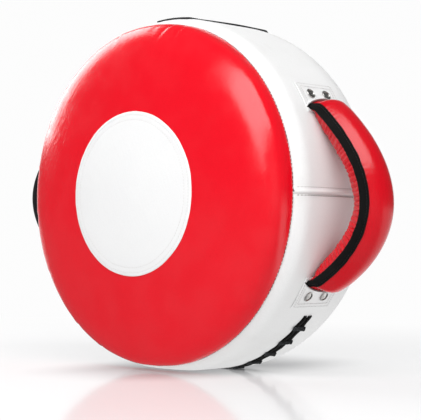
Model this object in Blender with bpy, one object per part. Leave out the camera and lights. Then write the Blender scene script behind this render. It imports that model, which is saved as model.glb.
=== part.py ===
"""Round punching shield: a foam drum in sewn covers, with a padded arm strap and a webbing grip.

Metres, +Z up. The drum stands on edge: its axis runs along Y, the struck face looks towards -Y and
the arm strap is at +X. The origin is in the flat under the drum, on its strip in front of the
closure. Angles round the drum are in degrees clockwise from the top, seen from the front.
"""
import math

import bmesh
import bpy
from mathutils import Vector

# Drum
SEAM_RADIUS = 0.200            # front seam, where the face meets the band
BAND_RADIUS = 0.2088           # crown of the padded band
BACK_SEAM_RADIUS = 0.173
BAND_WIDTH = 0.160             # front seam to back seam
FRONT_SHOULDER = 0.020         # the band swells to its crown over this width
BACK_SHOULDER = 0.060          # and falls away to the back seam over this one
FACE_RISE = 0.0548             # middle of the struck face, ahead of the front seam
FACE_SPREAD = 1.46             # the face's profile is a superellipse: lower is more pointed in the middle
FACE_WALL = 3.9                # higher is a steeper rise from the seam
BACK_RISE = 0.004
BACK_FLAT_RADIUS = 0.120
REST_WIDTH = 0.084             # the soft drum's flat on the floor, measured across
REST_POINT = 0.040             # how far the origin lies behind the front seam
COVER = 0.0018                 # leather
TARGET_RADIUS = 0.095
TARGET = 0.0012
SEGMENTS = 60                  # a multiple of 4, so that the band's joins fall on a corner

# Foam block: where each layer ends, behind the front seam
FACE_FOAM_END = 0.030
BOARD = 0.008
CORE_FOAM_MARGIN = 0.002       # the core ends this far ahead of the back shoulder

# Laced closure under the drum
CLOSURE_HALF_ANGLE = 49.0
LACE_RADIUS = 0.0017
LACE_PITCH = 0.0265
LACE_SLACK = 0.0005            # between the lace and the edges of the opening
TONGUE = 0.0012
TONGUE_LAP = 0.003             # the tongue reaches this far under each edge
OPENING_WIDTH = 0.015

# Strap roots
STRAPS_AHEAD = 0.010           # the straps' middle lies this far in front of the band's
SLIT_ANGLE = 27.8              # above and below the line through 3 and 9 o'clock
PATCH = 0.0015
PATCH_WIDTH = 0.064
PATCH_LIP = 1.7                # degrees of patch inside the slit
PATCH_REACH = 9.3              # degrees of patch outside it
RIVET_ANGLE = 4.5              # degrees from the slit
RIVET_SPACING = 0.028
RIVET_HEAD_RADIUS = 0.0065
RIVET_HEAD = 0.0026
RIVET_POST_RADIUS = 0.0020
BURR_RADIUS = 0.0050
BURR = 0.0010
TAB_DEPTH = 0.0063             # the moving straps end this far inside their slits
SLIT_SLACK = 0.0015            # a slit is this much longer than its strap, at each end

# Padded arm strap at 3 o'clock
ARM_WEBBING_WIDTH = 0.032
ARM_WEBBING = 0.0018
ARM_ROOT_LENGTH = 0.0073       # level part outside the slit, before the strap curves
ARM_STANDOFF = 0.0503          # from the band to the middle of the strap
ARM_DROOP = 0.0095             # the padded strap hangs down by this much in its middle
PAD_WIDTH = 0.0545
PAD_COVER = 0.0015
PAD_CROWN_OUT = 0.0165
PAD_CROWN_IN = 0.0160
PAD_END_OUT = 0.0065           # the crown that is left at the cover's ends
PAD_END_IN = 0.0040            # and at the lining's, which lie close to the drum
PAD_END_ANGLE = 74.0           # along the arch, 90 at its foot
ARCH_END_ANGLE = 84.0          # where the straps' webbing turns level
BINDING = 0.0015
BINDING_LEG_OUT = 0.0095       # how far the folded tape lies over the outer cover
BINDING_LEG_IN = 0.0045        # and over the lining

# Webbing grip at 9 o'clock
GRIP_WIDTH = 0.050
GRIP_WEBBING = 0.0024
GRIP_ROOT_LENGTH = 0.0090
GRIP_STANDOFF = 0.0737

# Flat webbing handle over the top
HANDLE_WIDTH = 0.050
HANDLE_WEBBING = 0.0018
HANDLE_START = 0.0135          # behind the front seam
HANDLE_BEND = 0.008            # radius of the turn down to the back seam
HANDLE_FOOT = 0.004            # its rear end stops this far outside the back seam

# Clearances
GAP = 0.0003                   # between neighbouring pieces
TAB_TURN = 0.0025              # a strap starts to turn this far before its root
SWING_ROOM = 0.0045            # round a strap's tab, for its swing

# Derived places
MIDLINE = BAND_WIDTH / 2       # the closure, behind the front seam
STRAP_LINE = MIDLINE - STRAPS_AHEAD
CORE_FOAM_END = BAND_WIDTH - BACK_SHOULDER - CORE_FOAM_MARGIN
REST_DEPTH = BAND_RADIUS - math.sqrt(BAND_RADIUS ** 2 - (REST_WIDTH / 2) ** 2)
AXIS_HEIGHT = BAND_RADIUS - REST_DEPTH
BACK_BULGE = BAND_RADIUS - BACK_SEAM_RADIUS
SLIT_HEIGHT = BAND_RADIUS * math.sin(math.radians(SLIT_ANGLE))
SWING_REACH = BAND_RADIUS * math.cos(math.radians(SLIT_ANGLE))
TAB_END = SWING_REACH - TAB_DEPTH
ARM_ROOT = SWING_REACH + ARM_ROOT_LENGTH
ARM_APEX = BAND_RADIUS + ARM_STANDOFF
GRIP_ROOT = SWING_REACH + GRIP_ROOT_LENGTH
GRIP_APEX = BAND_RADIUS + GRIP_STANDOFF
SKIN = COVER + GAP             # outside of the drum to its foam
FLAT_SAG = BAND_RADIUS * (1 - math.cos(math.pi / SEGMENTS))   # of the flats between the drum's corners
LACE_INSET = LACE_RADIUS + 2 * GAP
TONGUE_INSET = LACE_INSET + LACE_RADIUS + GAP
GROOVE_INSET = TONGUE_INSET + TONGUE + GAP
LACE_SWAY = OPENING_WIDTH / 2 - LACE_SLACK - LACE_RADIUS
GROOVE_WIDTH = OPENING_WIDTH + 2 * TONGUE_LAP
LACE_SPREAD = math.radians(2 * CLOSURE_HALF_ANGLE) * BAND_RADIUS
LACE_BARS = int((LACE_SPREAD - 4 * LACE_RADIUS) / LACE_PITCH)
RIVET_FOOT = SKIN + ARM_WEBBING + GAP + BURR + 2 * GAP
POCKET_DEPTH = BAND_RADIUS - math.hypot(TAB_END, SLIT_HEIGHT) + SWING_ROOM

RED = (0.62, 0.008, 0.012)
WHITE = (0.86, 0.86, 0.87)
BLACK = (0.012, 0.012, 0.013)
FOAM_GREY = (0.28, 0.28, 0.30)
FOAM_CREAM = (0.72, 0.66, 0.50)
STEEL = (0.62, 0.62, 0.64)


def clear_scene():
    for item in list(bpy.data.objects):
        bpy.data.objects.remove(item, do_unlink=True)


def material(name, colour, roughness, metallic=0.0):
    found = bpy.data.materials.get(name)
    if found:
        return found
    made = bpy.data.materials.new(name)
    made.use_nodes = True
    shader = made.node_tree.nodes["Principled BSDF"]
    shader.inputs["Base Color"].default_value = (*colour, 1.0)
    shader.inputs["Roughness"].default_value = roughness
    shader.inputs["Metallic"].default_value = metallic
    return made


def finish(name, mesh, look):
    """Makes the object, with its faces turned outwards and its round sides smooth."""
    work = bmesh.new()
    work.from_mesh(mesh)
    bmesh.ops.remove_doubles(work, verts=work.verts, dist=1e-7)
    bmesh.ops.recalc_face_normals(work, faces=work.faces)
    work.to_mesh(mesh)
    work.free()
    mesh.shade_smooth()
    mesh.set_sharp_from_angle(angle=math.radians(35))
    item = bpy.data.objects.new(name, mesh)
    bpy.context.scene.collection.objects.link(item)
    item.data.materials.append(material(name, *look))
    return item


def body(name, points, faces, look):
    mesh = bpy.data.meshes.new(name)
    mesh.from_pydata(points, [], faces)
    return finish(name, mesh, look)


def cutter(name, points, faces):
    item = body(name, points, faces, (BLACK, 0.5))
    item.hide_render = True
    item.display_type = "WIRE"
    return item


def cut(item, *cutters):
    for tool in cutters:
        change = item.modifiers.new("cut_" + tool.name, "BOOLEAN")
        change.operation = "DIFFERENCE"
        change.solver = "EXACT"
        change.object = tool


# The drum's section, as (distance behind the front seam, radius) at a depth below the outside

def front_shoulder(inset, start, steps=4):
    for step in range(steps + 1):
        place = start + (FRONT_SHOULDER - start) * step / steps
        swell = 1 - (1 - place / FRONT_SHOULDER) ** 2
        yield place, SEAM_RADIUS - inset + (BAND_RADIUS - SEAM_RADIUS) * swell


def back_shoulder(inset, steps=6):
    start = BAND_WIDTH - BACK_SHOULDER
    for step in range(steps + 1):
        turn = math.radians(90 * step / steps)
        yield (start + (BACK_SHOULDER - inset) * math.sin(turn),
               BACK_SEAM_RADIUS + (BACK_BULGE - inset) * math.cos(turn))


def band_section(inset):
    return [*front_shoulder(inset, GAP / 2), *back_shoulder(inset)]


def band_radius(place, inset=0.0):
    """Radius of the band at a distance behind the front seam, a depth below its outside."""
    section = band_section(inset)
    for (start, first), (end, last) in zip(section, section[1:]):
        if start <= place <= end:
            return first + (last - first) * (place - start) / (end - start)
    return section[0][1] if place < section[0][0] else section[-1][1]


def band_stretch(low, high, inset):
    """The band's section between two places, a depth below its outside."""
    between = [point for point in band_section(inset) if low + 1e-5 < point[0] < high - 1e-5]
    return [(low, band_radius(low, inset)), *between, (high, band_radius(high, inset))]


def face_section(inset, first=0.0, steps=8):
    """The struck face from an angle up its dome, first at the seam, to its middle."""
    for step in range(steps + 1):
        turn = math.radians(first + (90 - first) * (step / steps) ** 1.6)
        level = max(math.cos(turn), 0.0)
        yield (-GAP / 2 - (FACE_RISE - inset) * math.sin(turn) ** (2 / FACE_WALL),
               (SEAM_RADIUS - inset) * level ** (2 / FACE_SPREAD) if step < steps else 0.0)


def drum_point(place, radius, angle, inset):
    """A point of a ring round the drum, pressed level where the drum rests on the floor."""
    turn = math.radians(angle)
    height = max(radius * math.cos(turn), -(AXIS_HEIGHT - inset))
    return Vector((radius * math.sin(turn), place - REST_POINT, AXIS_HEIGHT + height))


def round_steps(start, end):
    """Angles from start to end, on the corners that every ring of the drum shares."""
    pitch = 360 / SEGMENTS
    angles = [start]
    corner = math.floor(start / pitch + 1e-6) + 1
    while corner * pitch < end - 1e-6:
        angles.append(corner * pitch)
        corner += 1
    return angles + [end]


def split(corners, rising):
    """Two triangles, cut alike in every layer, so that pressed layers stay clear of each other."""
    one, two, three, four = corners
    if rising:
        return [(one, two, three), (one, three, four)]
    return [(one, two, four), (two, three, four)]


def sector(section, start, end):
    """A bar of the given closed section, as (place, radius, inset), swept round the drum."""
    angles = round_steps(start, end)
    count = len(section)
    points = [drum_point(place, radius, angle, inset)
              for angle in angles for place, radius, inset in section]
    faces = []
    for ring in range(len(angles) - 1):
        for index in range(count):
            after = (index + 1) % count
            corners = (ring * count + index, ring * count + after,
                       (ring + 1) * count + after, (ring + 1) * count + index)
            faces += split(corners, section[index][0] <= section[after][0])
    for base in (0, (len(angles) - 1) * count):
        faces.append(tuple(range(base, base + count)))
    return points, faces


def sheet_section(outer, inner, outer_inset, inner_inset):
    return ([(place, radius, outer_inset) for place, radius in outer]
            + [(place, radius, inner_inset) for place, radius in reversed(list(inner))])


def turned(section):
    """A body of revolution. Its section may start and end on the axis, where a ring is a point."""
    pitch = 360 / SEGMENTS
    points = []
    rings = []
    for place, radius, inset in section:
        if radius < 1e-6:
            rings.append([len(points)] * SEGMENTS)
            points.append(drum_point(place, 0.0, 0.0, inset))
            continue
        rings.append(list(range(len(points), len(points) + SEGMENTS)))
        points += [drum_point(place, radius, step * pitch, inset) for step in range(SEGMENTS)]
    faces = []
    count = len(section)
    pairs = count - 1 if section[0][1] < 1e-6 else count
    for index in range(pairs):
        after = (index + 1) % count
        one, two = rings[index], rings[after]
        for step in range(SEGMENTS):
            beside = (step + 1) % SEGMENTS
            corners = (one[step], one[beside], two[beside], two[step])
            faces += split(corners, section[index][0] <= section[after][0])
    return points, [face for face in faces if len(set(face)) == 3]


def build_front_cover():
    outer = list(face_section(0.0))
    inner = list(face_section(COVER))
    section = sheet_section(outer, inner, 0.0, COVER)
    return body("front_cover", *turned(section), (RED, 0.32))


def build_target_patch():
    """The white disc sewn over the middle of the face."""
    first = math.degrees(math.acos((TARGET_RADIUS / SEAM_RADIUS) ** (FACE_SPREAD / 2)))
    outer = face_section(-GAP - TARGET, first, 3)
    inner = face_section(-GAP, first, 3)
    section = sheet_section(list(outer), list(inner), 0.0, 0.0)
    return body("target_patch", *turned(section), (WHITE, 0.35))


def build_side_band(name, start, end):
    """Half of the band, from one join on the level line through the axis to the other."""
    join = math.degrees(GAP / 2 / BAND_RADIUS)
    section = sheet_section(band_section(0.0), band_section(COVER), 0.0, COVER)
    return body(name, *sector(section, start + join, end - join), (WHITE, 0.38))


def build_back_cover():
    places = [BACK_SEAM_RADIUS - GAP, BACK_SEAM_RADIUS - 0.010,
              (BACK_SEAM_RADIUS + BACK_FLAT_RADIUS) / 2, BACK_FLAT_RADIUS, 0.0]
    reach = BACK_SEAM_RADIUS - GAP - BACK_FLAT_RADIUS

    def rise(radius):
        share = max(0.0, (radius - BACK_FLAT_RADIUS) / reach)
        return BAND_WIDTH + BACK_RISE * math.sqrt(1 - share * share)

    outer = [(rise(radius), radius) for radius in places]
    inner = [(rise(radius) - COVER, radius) for radius in places]
    section = sheet_section(outer, inner, 0.0, COVER)
    return body("back_cover", *turned(section), (WHITE, 0.38))


def foam_disc(name, section, colour):
    """A layer of the block, from its section between two points on the axis."""
    full = [(place, radius, SKIN) for place, radius in section]
    return body(name, *turned(full), (colour, 0.9))


def build_foam_block():
    """Four layers, from the struck face to the back. The straps and closure need room in the core."""
    board_start = FACE_FOAM_END + GAP
    core_start = board_start + BOARD + GAP
    back_start = CORE_FOAM_END + GAP
    back_end = BAND_WIDTH - COVER - GAP
    dome = list(reversed(list(face_section(SKIN))))[1:]
    foam_disc("face_foam", [(-GAP / 2 - FACE_RISE + SKIN, 0.0), *dome,
                            *band_stretch(GAP / 2, FACE_FOAM_END, SKIN), (FACE_FOAM_END, 0.0)], FOAM_GREY)
    foam_layer("shock_board", board_start, board_start + BOARD, FOAM_CREAM)
    back = foam_layer("back_foam", back_start, back_end, FOAM_CREAM)
    core = foam_layer("core_foam", core_start, CORE_FOAM_END, FOAM_GREY)
    return core, back


def foam_layer(name, start, end, colour):
    return foam_disc(name, [(start, 0.0), *band_stretch(start, end, SKIN), (end, 0.0)], colour)


# Closure

def closure_ring(width, outer_inset, inner_inset, half_angle):
    low = MIDLINE - width / 2
    high = MIDLINE + width / 2
    section = [(low, band_radius(low, outer_inset), outer_inset),
               (high, band_radius(high, outer_inset), outer_inset),
               (high, band_radius(high, inner_inset), inner_inset),
               (low, band_radius(low, inner_inset), inner_inset)]
    return sector(section, 180 - half_angle, 180 + half_angle)


def lace_route(steps=8):
    """A rounded square wave: bars straight across the opening, joined by runs along its edges."""
    for step in range(LACE_BARS * steps + 1):
        turn = math.pi * step / steps
        along = (turn + math.sin(2 * turn) / 2) / math.pi - LACE_BARS / 2
        yield 180 + math.degrees(LACE_PITCH * along / BAND_RADIUS), LACE_SWAY * math.cos(turn)


def build_closure():
    tongue_half = CLOSURE_HALF_ANGLE - math.degrees(GAP / BAND_RADIUS)
    body("closure_tongue",
         *closure_ring(GROOVE_WIDTH - 2 * GAP, TONGUE_INSET, TONGUE_INSET + TONGUE, tongue_half),
         (BLACK, 0.7))
    curve = bpy.data.curves.new("closure_lace", "CURVE")
    curve.dimensions = "3D"
    curve.bevel_depth = LACE_RADIUS
    curve.bevel_resolution = 1
    curve.render_resolution_u = 0
    curve.use_fill_caps = True
    places = [drum_point(MIDLINE + across, BAND_RADIUS - LACE_INSET, angle, LACE_INSET)
              for angle, across in lace_route()]
    spline = curve.splines.new("POLY")
    spline.points.add(len(places) - 1)
    for point, place in zip(spline.points, places):
        point.co = (*place, 1.0)
    lace = bpy.data.objects.new("closure_lace", curve)
    bpy.context.scene.collection.objects.link(lace)
    curve.materials.append(material("closure_lace", BLACK, 0.7))
    print("least gap of the lace to itself, mm:", round(least_gap(places) * 1000, 2))


def least_gap(places):
    """Least clear distance between stretches of the lace that aren't neighbours."""
    near = 3
    best = 1.0
    for one in range(len(places)):
        for two in range(one + near + 1, len(places)):
            best = min(best, (places[one] - places[two]).length)
    return best - 2 * LACE_RADIUS


# Strap roots

def slit_cutter(name, side, level, width, thickness):
    """A level-walled slit through the band, wide enough for the strap to swing in."""
    half_width = width / 2 + SLIT_SLACK
    half_height = thickness / 2 + GAP
    middle = AXIS_HEIGHT + level * SLIT_HEIGHT
    xs = (side * (SWING_REACH - 0.016), side * (SWING_REACH + 0.030))
    ys = (STRAP_LINE - REST_POINT - half_width, STRAP_LINE - REST_POINT + half_width)
    zs = (middle - half_height, middle + half_height)
    points = [(x, y, z) for x in xs for y in ys for z in zs]
    faces = [(0, 1, 3, 2), (4, 6, 7, 5), (0, 4, 5, 1), (2, 3, 7, 6), (0, 2, 6, 4), (1, 5, 7, 3)]
    return cutter(name, points, faces)


def around(side, level, degrees):
    """The angle that lies some degrees above or below 3 or 9 o'clock."""
    quarter = 90 if side > 0 else 270
    return quarter - side * level * degrees


def span(side, level, near, far):
    angles = (around(side, level, near), around(side, level, far))
    return min(angles), max(angles)


def strip_section(width, outer_inset, inner_inset):
    low = STRAP_LINE - width / 2
    high = STRAP_LINE + width / 2
    return sheet_section(band_stretch(low, high, outer_inset), band_stretch(low, high, inner_inset),
                         outer_inset, inner_inset)


def rivet_places(side, level):
    angle = around(side, level, SLIT_ANGLE + RIVET_ANGLE)
    for across in (-RIVET_SPACING / 2, RIVET_SPACING / 2):
        place = STRAP_LINE + across
        base = drum_point(place, band_radius(place), angle, 0.0)
        outward = Vector((math.sin(math.radians(angle)), 0.0, math.cos(math.radians(angle))))
        slope = band_radius(place) - min(band_radius(place - BURR_RADIUS), band_radius(place + BURR_RADIUS))
        yield base, outward, slope + FLAT_SAG


def round_body(base, outward, profile, sides):
    """A small turned body on an axis, its profile given as (height, radius), ends closed."""
    along = Vector((0.0, 1.0, 0.0))
    across = outward.cross(along)
    points = []
    faces = []
    for height, radius in profile:
        for step in range(sides):
            turn = 2 * math.pi * step / sides
            points.append(base + outward * height
                          + (along * math.cos(turn) + across * math.sin(turn)) * radius)
    for ring in range(len(profile) - 1):
        for step in range(sides):
            after = (step + 1) % sides
            faces.append((ring * sides + step, ring * sides + after,
                          (ring + 1) * sides + after, (ring + 1) * sides + step))
    faces.append(tuple(range(sides)))
    faces.append(tuple((len(profile) - 1) * sides + step for step in range(sides)))
    return points, faces


def joined(parts):
    points = []
    faces = []
    for some_points, some_faces in parts:
        base = len(points)
        points += some_points
        faces += [tuple(index + base for index in face) for face in some_faces]
    return points, faces


def ring_body(base, outward, low, high, inner, outer, sides):
    """A small washer on an axis."""
    along = Vector((0.0, 1.0, 0.0))
    across = outward.cross(along)
    loops = ((low, outer), (high, outer), (high, inner), (low, inner))
    points = [base + outward * height
              + (along * math.cos(2 * math.pi * step / sides)
                 + across * math.sin(2 * math.pi * step / sides)) * radius
              for height, radius in loops for step in range(sides)]
    faces = []
    for loop in range(4):
        for step in range(sides):
            after = (step + 1) % sides
            faces.append((loop * sides + step, loop * sides + after,
                          (loop + 1) % 4 * sides + after, (loop + 1) % 4 * sides + step))
    return points, faces


def build_rivets():
    """Capped rivets through patch, band and webbing, with their burrs underneath."""
    seat = PATCH + 2 * GAP
    cap = [(-RIVET_FOOT, RIVET_POST_RADIUS), (seat, RIVET_POST_RADIUS),
           (seat, RIVET_HEAD_RADIUS * 0.92), (seat + RIVET_HEAD * 0.35, RIVET_HEAD_RADIUS),
           (seat + RIVET_HEAD * 0.75, RIVET_HEAD_RADIUS * 0.8), (seat + RIVET_HEAD, RIVET_HEAD_RADIUS * 0.35)]
    burr_top = -(SKIN + ARM_WEBBING + GAP)
    bore = RIVET_POST_RADIUS + GAP
    holes = []
    for strap, side in (("arm", 1), ("grip", -1)):
        lift = 0.0 if side > 0 else ARM_WEBBING - GRIP_WEBBING
        for word, level in (("upper", 1), ("lower", -1)):
            for end, (base, outward, slope) in zip(("front", "rear"), rivet_places(side, level)):
                label = f"{strap}_{word}_{end}"
                drop = lift - slope
                shape = [(cap[0][0] + drop, cap[0][1]), *cap[1:]]
                body("rivet_" + label, *round_body(base, outward, shape, 12), (STEEL, 0.15, 1.0))
                body("burr_" + label, *ring_body(base, outward, burr_top + drop - BURR, burr_top + drop,
                                                 bore, BURR_RADIUS, 12), (STEEL, 0.3, 1.0))
                holes.append(round_body(base, outward, [(-0.015, bore), (0.010, bore)], 12))
    return cutter("rivet_drill", *joined(holes))


def build_roots(name, side, width, thickness, drill, slits):
    """Patches outside the band and the riveted webbing ends inside it."""
    for level, word in ((1, "upper"), (-1, "lower")):
        start, end = span(side, level, SLIT_ANGLE - PATCH_LIP, SLIT_ANGLE + PATCH_REACH)
        section = strip_section(PATCH_WIDTH, -GAP - PATCH, -GAP)
        patch = body(f"{name}_patch_{word}", *sector(section, start, end), (WHITE, 0.4))
        cut(patch, slits[level], drill)
        low_edge = SLIT_HEIGHT + thickness / 2 + 2 * GAP
        inner = BAND_RADIUS - SKIN - thickness
        near = math.degrees(math.asin(low_edge / inner))
        start, end = span(side, level, near, SLIT_ANGLE + PATCH_REACH - 0.5)
        section = strip_section(width, SKIN, SKIN + thickness)
        anchor = body(f"{name}_anchor_{word}", *sector(section, start, end), (BLACK, 0.7))
        cut(anchor, drill)


def pocket_cutter(name, side, level, width):
    """The hollow in the foam under a strap's root, with room for the strap's inner end."""
    low_angle, high_angle = span(side, level, SLIT_ANGLE - 2.0, SLIT_ANGLE + PATCH_REACH)
    depth = max(POCKET_DEPTH, RIVET_FOOT + GAP)
    half = width / 2 + SWING_ROOM
    front = STRAP_LINE - half
    rear = STRAP_LINE + half
    section = [(front, BAND_RADIUS + 0.01, -0.01), (rear, BAND_RADIUS + 0.01, -0.01),
               (rear, BAND_RADIUS - depth, depth), (front, BAND_RADIUS - depth, depth)]
    return cutter(name, *sector(section, low_angle, high_angle))


# Straps: a path in the drum's plane as (distance from the axis, height), swept with a flat section

def arch(root, apex, droop, end_angle, steps):
    """The strap's curve from its upper end to its lower one, a parabola with a droop."""
    points = []
    for step in range(steps + 1):
        turn = math.radians(end_angle - 2 * end_angle * step / steps)
        fullness = math.cos(turn) ** 2
        points.append(Vector((root + (apex - root) * fullness,
                              SLIT_HEIGHT * math.sin(turn) - droop * fullness)))
    return points


def path_normals(points):
    """Outward directions along the path, across the corner at each point."""
    normals = []
    for index, point in enumerate(points):
        before = points[max(index - 1, 0)]
        after = points[min(index + 1, len(points) - 1)]
        along = (after - before).normalized()
        normals.append(Vector((-along.y, along.x)))
    return normals


def swept(points, side, sections):
    """Joins one closed section, as (across, outward), at each point of the path."""
    normals = path_normals(points)
    corners = []
    faces = []
    count = len(sections[0])
    for point, normal, section in zip(points, normals, sections):
        for across, outward in section:
            place = point + normal * outward
            corners.append(Vector((side * place.x, STRAP_LINE - REST_POINT + across,
                                   AXIS_HEIGHT + place.y)))
    for ring in range(len(points) - 1):
        for index in range(count):
            after = (index + 1) % count
            faces.append((ring * count + index, ring * count + after,
                          (ring + 1) * count + after, (ring + 1) * count + index))
    last = (len(points) - 1) * count
    half = count // 2
    for base in (0, last):
        for index in range(half - 1):
            faces.append((base + index, base + index + 1,
                          base + count - 2 - index, base + count - 1 - index))
    return corners, faces


def webbing_path(root, apex, droop, end_angle, steps):
    """The arch with a level tab at each end, reaching through the slits."""
    curve = arch(root, apex, droop, end_angle, steps)
    upper = [Vector((TAB_END, SLIT_HEIGHT)), Vector((root - TAB_TURN, SLIT_HEIGHT))]
    lower = [Vector((point.x, -point.y)) for point in reversed(upper)]
    return upper + curve + lower


def flat_section(width, thickness):
    half = width / 2
    return [(-half, thickness / 2), (half, thickness / 2), (half, -thickness / 2), (-half, -thickness / 2)]


def pad_crown(step, steps, side):
    """The padding's height at a step along the arch, full in the middle and thin at the ends."""
    middle, end = (PAD_CROWN_OUT, PAD_END_OUT) if side > 0 else (PAD_CROWN_IN, PAD_END_IN)
    along = abs(2 * step / steps - 1)
    return end + (middle - end) * (1 - along ** 4)


def pad_bulge(crown, base, side):
    """Points across the pad between its bindings. The lining stands up more steeply than the cover."""
    leg = BINDING_LEG_OUT if side > 0 else BINDING_LEG_IN
    power = 4 if side > 0 else 8
    shoulder = PAD_WIDTH / 2 - leg - 2 * GAP
    shares = (-1.0, -0.95, -0.82, -0.5, 0.0, 0.5, 0.82, 0.95, 1.0)
    return [(share * shoulder, side * (base + crown * (1 - share ** power))) for share in shares]


def pad_outline(crown, base, side):
    half = PAD_WIDTH / 2
    return [(-half, side * base), *pad_bulge(crown, base, side), (half, side * base)]


def build_pad_cover(name, points, steps, side):
    """A sheet that lies flat in the bindings and rises over the foam between them."""
    sections = []
    for step in range(steps + 1):
        crown = pad_crown(step, steps, side)
        outer = pad_outline(crown, PAD_COVER + GAP, side)
        inner = pad_outline(crown, GAP, side)
        sections.append(outer + list(reversed(inner)))
    return body(name, *swept(points, 1, sections), (RED, 0.32))


def build_pad_foam(name, points, steps, side):
    """The filling between the webbing and a cover. It stops just short of the cover's shoulders."""
    sections = []
    floor = ARM_WEBBING / 2 + GAP
    for step in range(steps + 1):
        crown = pad_crown(step, steps, side)
        top = pad_bulge(crown, -2 * GAP, side)[2:-2]
        bottom = [(across, side * floor) for across, height in top]
        sections.append(top + list(reversed(bottom)))
    return body(name, *swept(points, 1, sections), (FOAM_GREY, 0.9))


def build_binding(name, points, edge):
    """Folded tape round both covers at the pad's front or rear edge."""
    inside = PAD_COVER + 2 * GAP
    outside = inside + BINDING
    half = PAD_WIDTH / 2
    fold = half + GAP
    outer = [(half - BINDING_LEG_OUT, outside), (fold, outside), (fold + BINDING, outside * 0.55),
             (fold + BINDING, -outside * 0.55), (fold, -outside), (half - BINDING_LEG_IN, -outside)]
    inner = [(half - BINDING_LEG_OUT, inside), (fold, inside), (fold, inside * 0.5),
             (fold, -inside * 0.5), (fold, -inside), (half - BINDING_LEG_IN, -inside)]
    section = [(edge * across, outward) for across, outward in outer + list(reversed(inner))]
    return body(name, *swept(points, 1, [section] * len(points)), (BLACK, 0.75))


def build_arm_strap():
    steps = 20
    path = webbing_path(ARM_ROOT, ARM_APEX, ARM_DROOP, ARCH_END_ANGLE, steps)
    section = flat_section(ARM_WEBBING_WIDTH, ARM_WEBBING)
    body("arm_strap_webbing", *swept(path, 1, [section] * len(path)), (BLACK, 0.7))
    pad = arch(ARM_ROOT, ARM_APEX, ARM_DROOP, PAD_END_ANGLE, steps)
    build_pad_cover("arm_strap_cover", pad, steps, 1)
    build_pad_cover("arm_strap_lining", pad, steps, -1)
    build_pad_foam("arm_strap_foam", pad, steps, 1)
    build_pad_foam("arm_strap_inner_foam", pad, steps, -1)
    build_binding("arm_strap_binding_front", pad, -1)
    build_binding("arm_strap_binding_rear", pad, 1)


def build_grip():
    path = webbing_path(GRIP_ROOT, GRIP_APEX, 0.0, ARCH_END_ANGLE, 20)
    section = flat_section(GRIP_WIDTH, GRIP_WEBBING)
    body("grip_webbing", *swept(path, -1, [section] * len(path)), (BLACK, 0.7))


def handle_section(lift, steps=4):
    """Along the crown, level over the back shoulder, and down to the back seam, a lift off the band."""
    level = BAND_RADIUS + lift
    corner = BAND_WIDTH + lift - HANDLE_BEND
    points = [*band_stretch(HANDLE_START, BAND_WIDTH - BACK_SHOULDER, -lift)]
    for step in range(steps + 1):
        turn = math.radians(90 * step / steps)
        points.append((corner + HANDLE_BEND * math.sin(turn), level - HANDLE_BEND * (1 - math.cos(turn))))
    return [*points, (BAND_WIDTH + lift, BACK_SEAM_RADIUS + HANDLE_FOOT)]


def build_top_handle():
    """Webbing over the band at 12 o'clock, sewn down on the crown and caught in the back seam."""
    half_angle = math.degrees(HANDLE_WIDTH / 2 / BAND_RADIUS)
    section = sheet_section(handle_section(GAP + HANDLE_WEBBING), handle_section(GAP),
                            -GAP - HANDLE_WEBBING, -GAP)
    return body("top_handle", *sector(section, -half_angle, half_angle), (BLACK, 0.7))


def main():
    clear_scene()
    build_front_cover()
    build_target_patch()
    upper_band = build_side_band("side_band_upper", -90, 90)
    lower_band = build_side_band("side_band_lower", 90, 270)
    build_back_cover()
    core_foam, back_foam = build_foam_block()
    build_closure()
    drill = build_rivets()
    straps = (("arm", 1, ARM_WEBBING_WIDTH, ARM_WEBBING), ("grip", -1, GRIP_WIDTH, GRIP_WEBBING))
    for name, side, width, thickness in straps:
        slits = {level: slit_cutter(f"{name}_slit_{level}", side, level, width, thickness)
                 for level in (1, -1)}
        build_roots(name, side, width, thickness, drill, slits)
        cut(upper_band, slits[1])
        cut(lower_band, slits[-1])
        for level in (1, -1):
            pocket = pocket_cutter(f"{name}_pocket_{level}", side, level, width)
            cut(core_foam, pocket)
            cut(back_foam, pocket)
    opening = cutter("closure_opening",
                     *closure_ring(OPENING_WIDTH, -0.01, TONGUE_INSET, CLOSURE_HALF_ANGLE))
    groove = cutter("closure_groove", *closure_ring(GROOVE_WIDTH, -0.01, GROOVE_INSET, CLOSURE_HALF_ANGLE))
    cut(upper_band, drill)
    cut(lower_band, drill, opening)
    cut(core_foam, groove)
    build_arm_strap()
    build_grip()
    build_top_handle()


main()
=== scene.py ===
import math

import bmesh
import bpy
import numpy as np
from mathutils import Matrix, Vector


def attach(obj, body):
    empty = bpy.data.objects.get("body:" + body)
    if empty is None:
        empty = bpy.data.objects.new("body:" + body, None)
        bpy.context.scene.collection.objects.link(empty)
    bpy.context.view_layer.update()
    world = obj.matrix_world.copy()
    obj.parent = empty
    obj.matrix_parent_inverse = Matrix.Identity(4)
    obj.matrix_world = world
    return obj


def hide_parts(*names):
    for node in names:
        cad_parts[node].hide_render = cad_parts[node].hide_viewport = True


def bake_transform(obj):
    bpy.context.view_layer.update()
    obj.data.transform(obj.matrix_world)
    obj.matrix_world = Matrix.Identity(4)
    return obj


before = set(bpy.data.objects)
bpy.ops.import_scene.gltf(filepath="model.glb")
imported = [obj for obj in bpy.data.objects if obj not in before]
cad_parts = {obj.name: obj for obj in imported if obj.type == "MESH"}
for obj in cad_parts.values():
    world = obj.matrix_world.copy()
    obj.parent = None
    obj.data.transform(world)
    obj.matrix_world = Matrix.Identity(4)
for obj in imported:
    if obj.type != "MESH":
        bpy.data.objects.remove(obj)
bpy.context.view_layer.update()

# Sizes of the shield, in metres, as the CAD gives them
AXIS_HEIGHT = 0.204532
REST_POINT = 0.040
SEAM_RADIUS = 0.200
BAND_RADIUS = 0.2088
BACK_SEAM_RADIUS = 0.173
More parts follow.
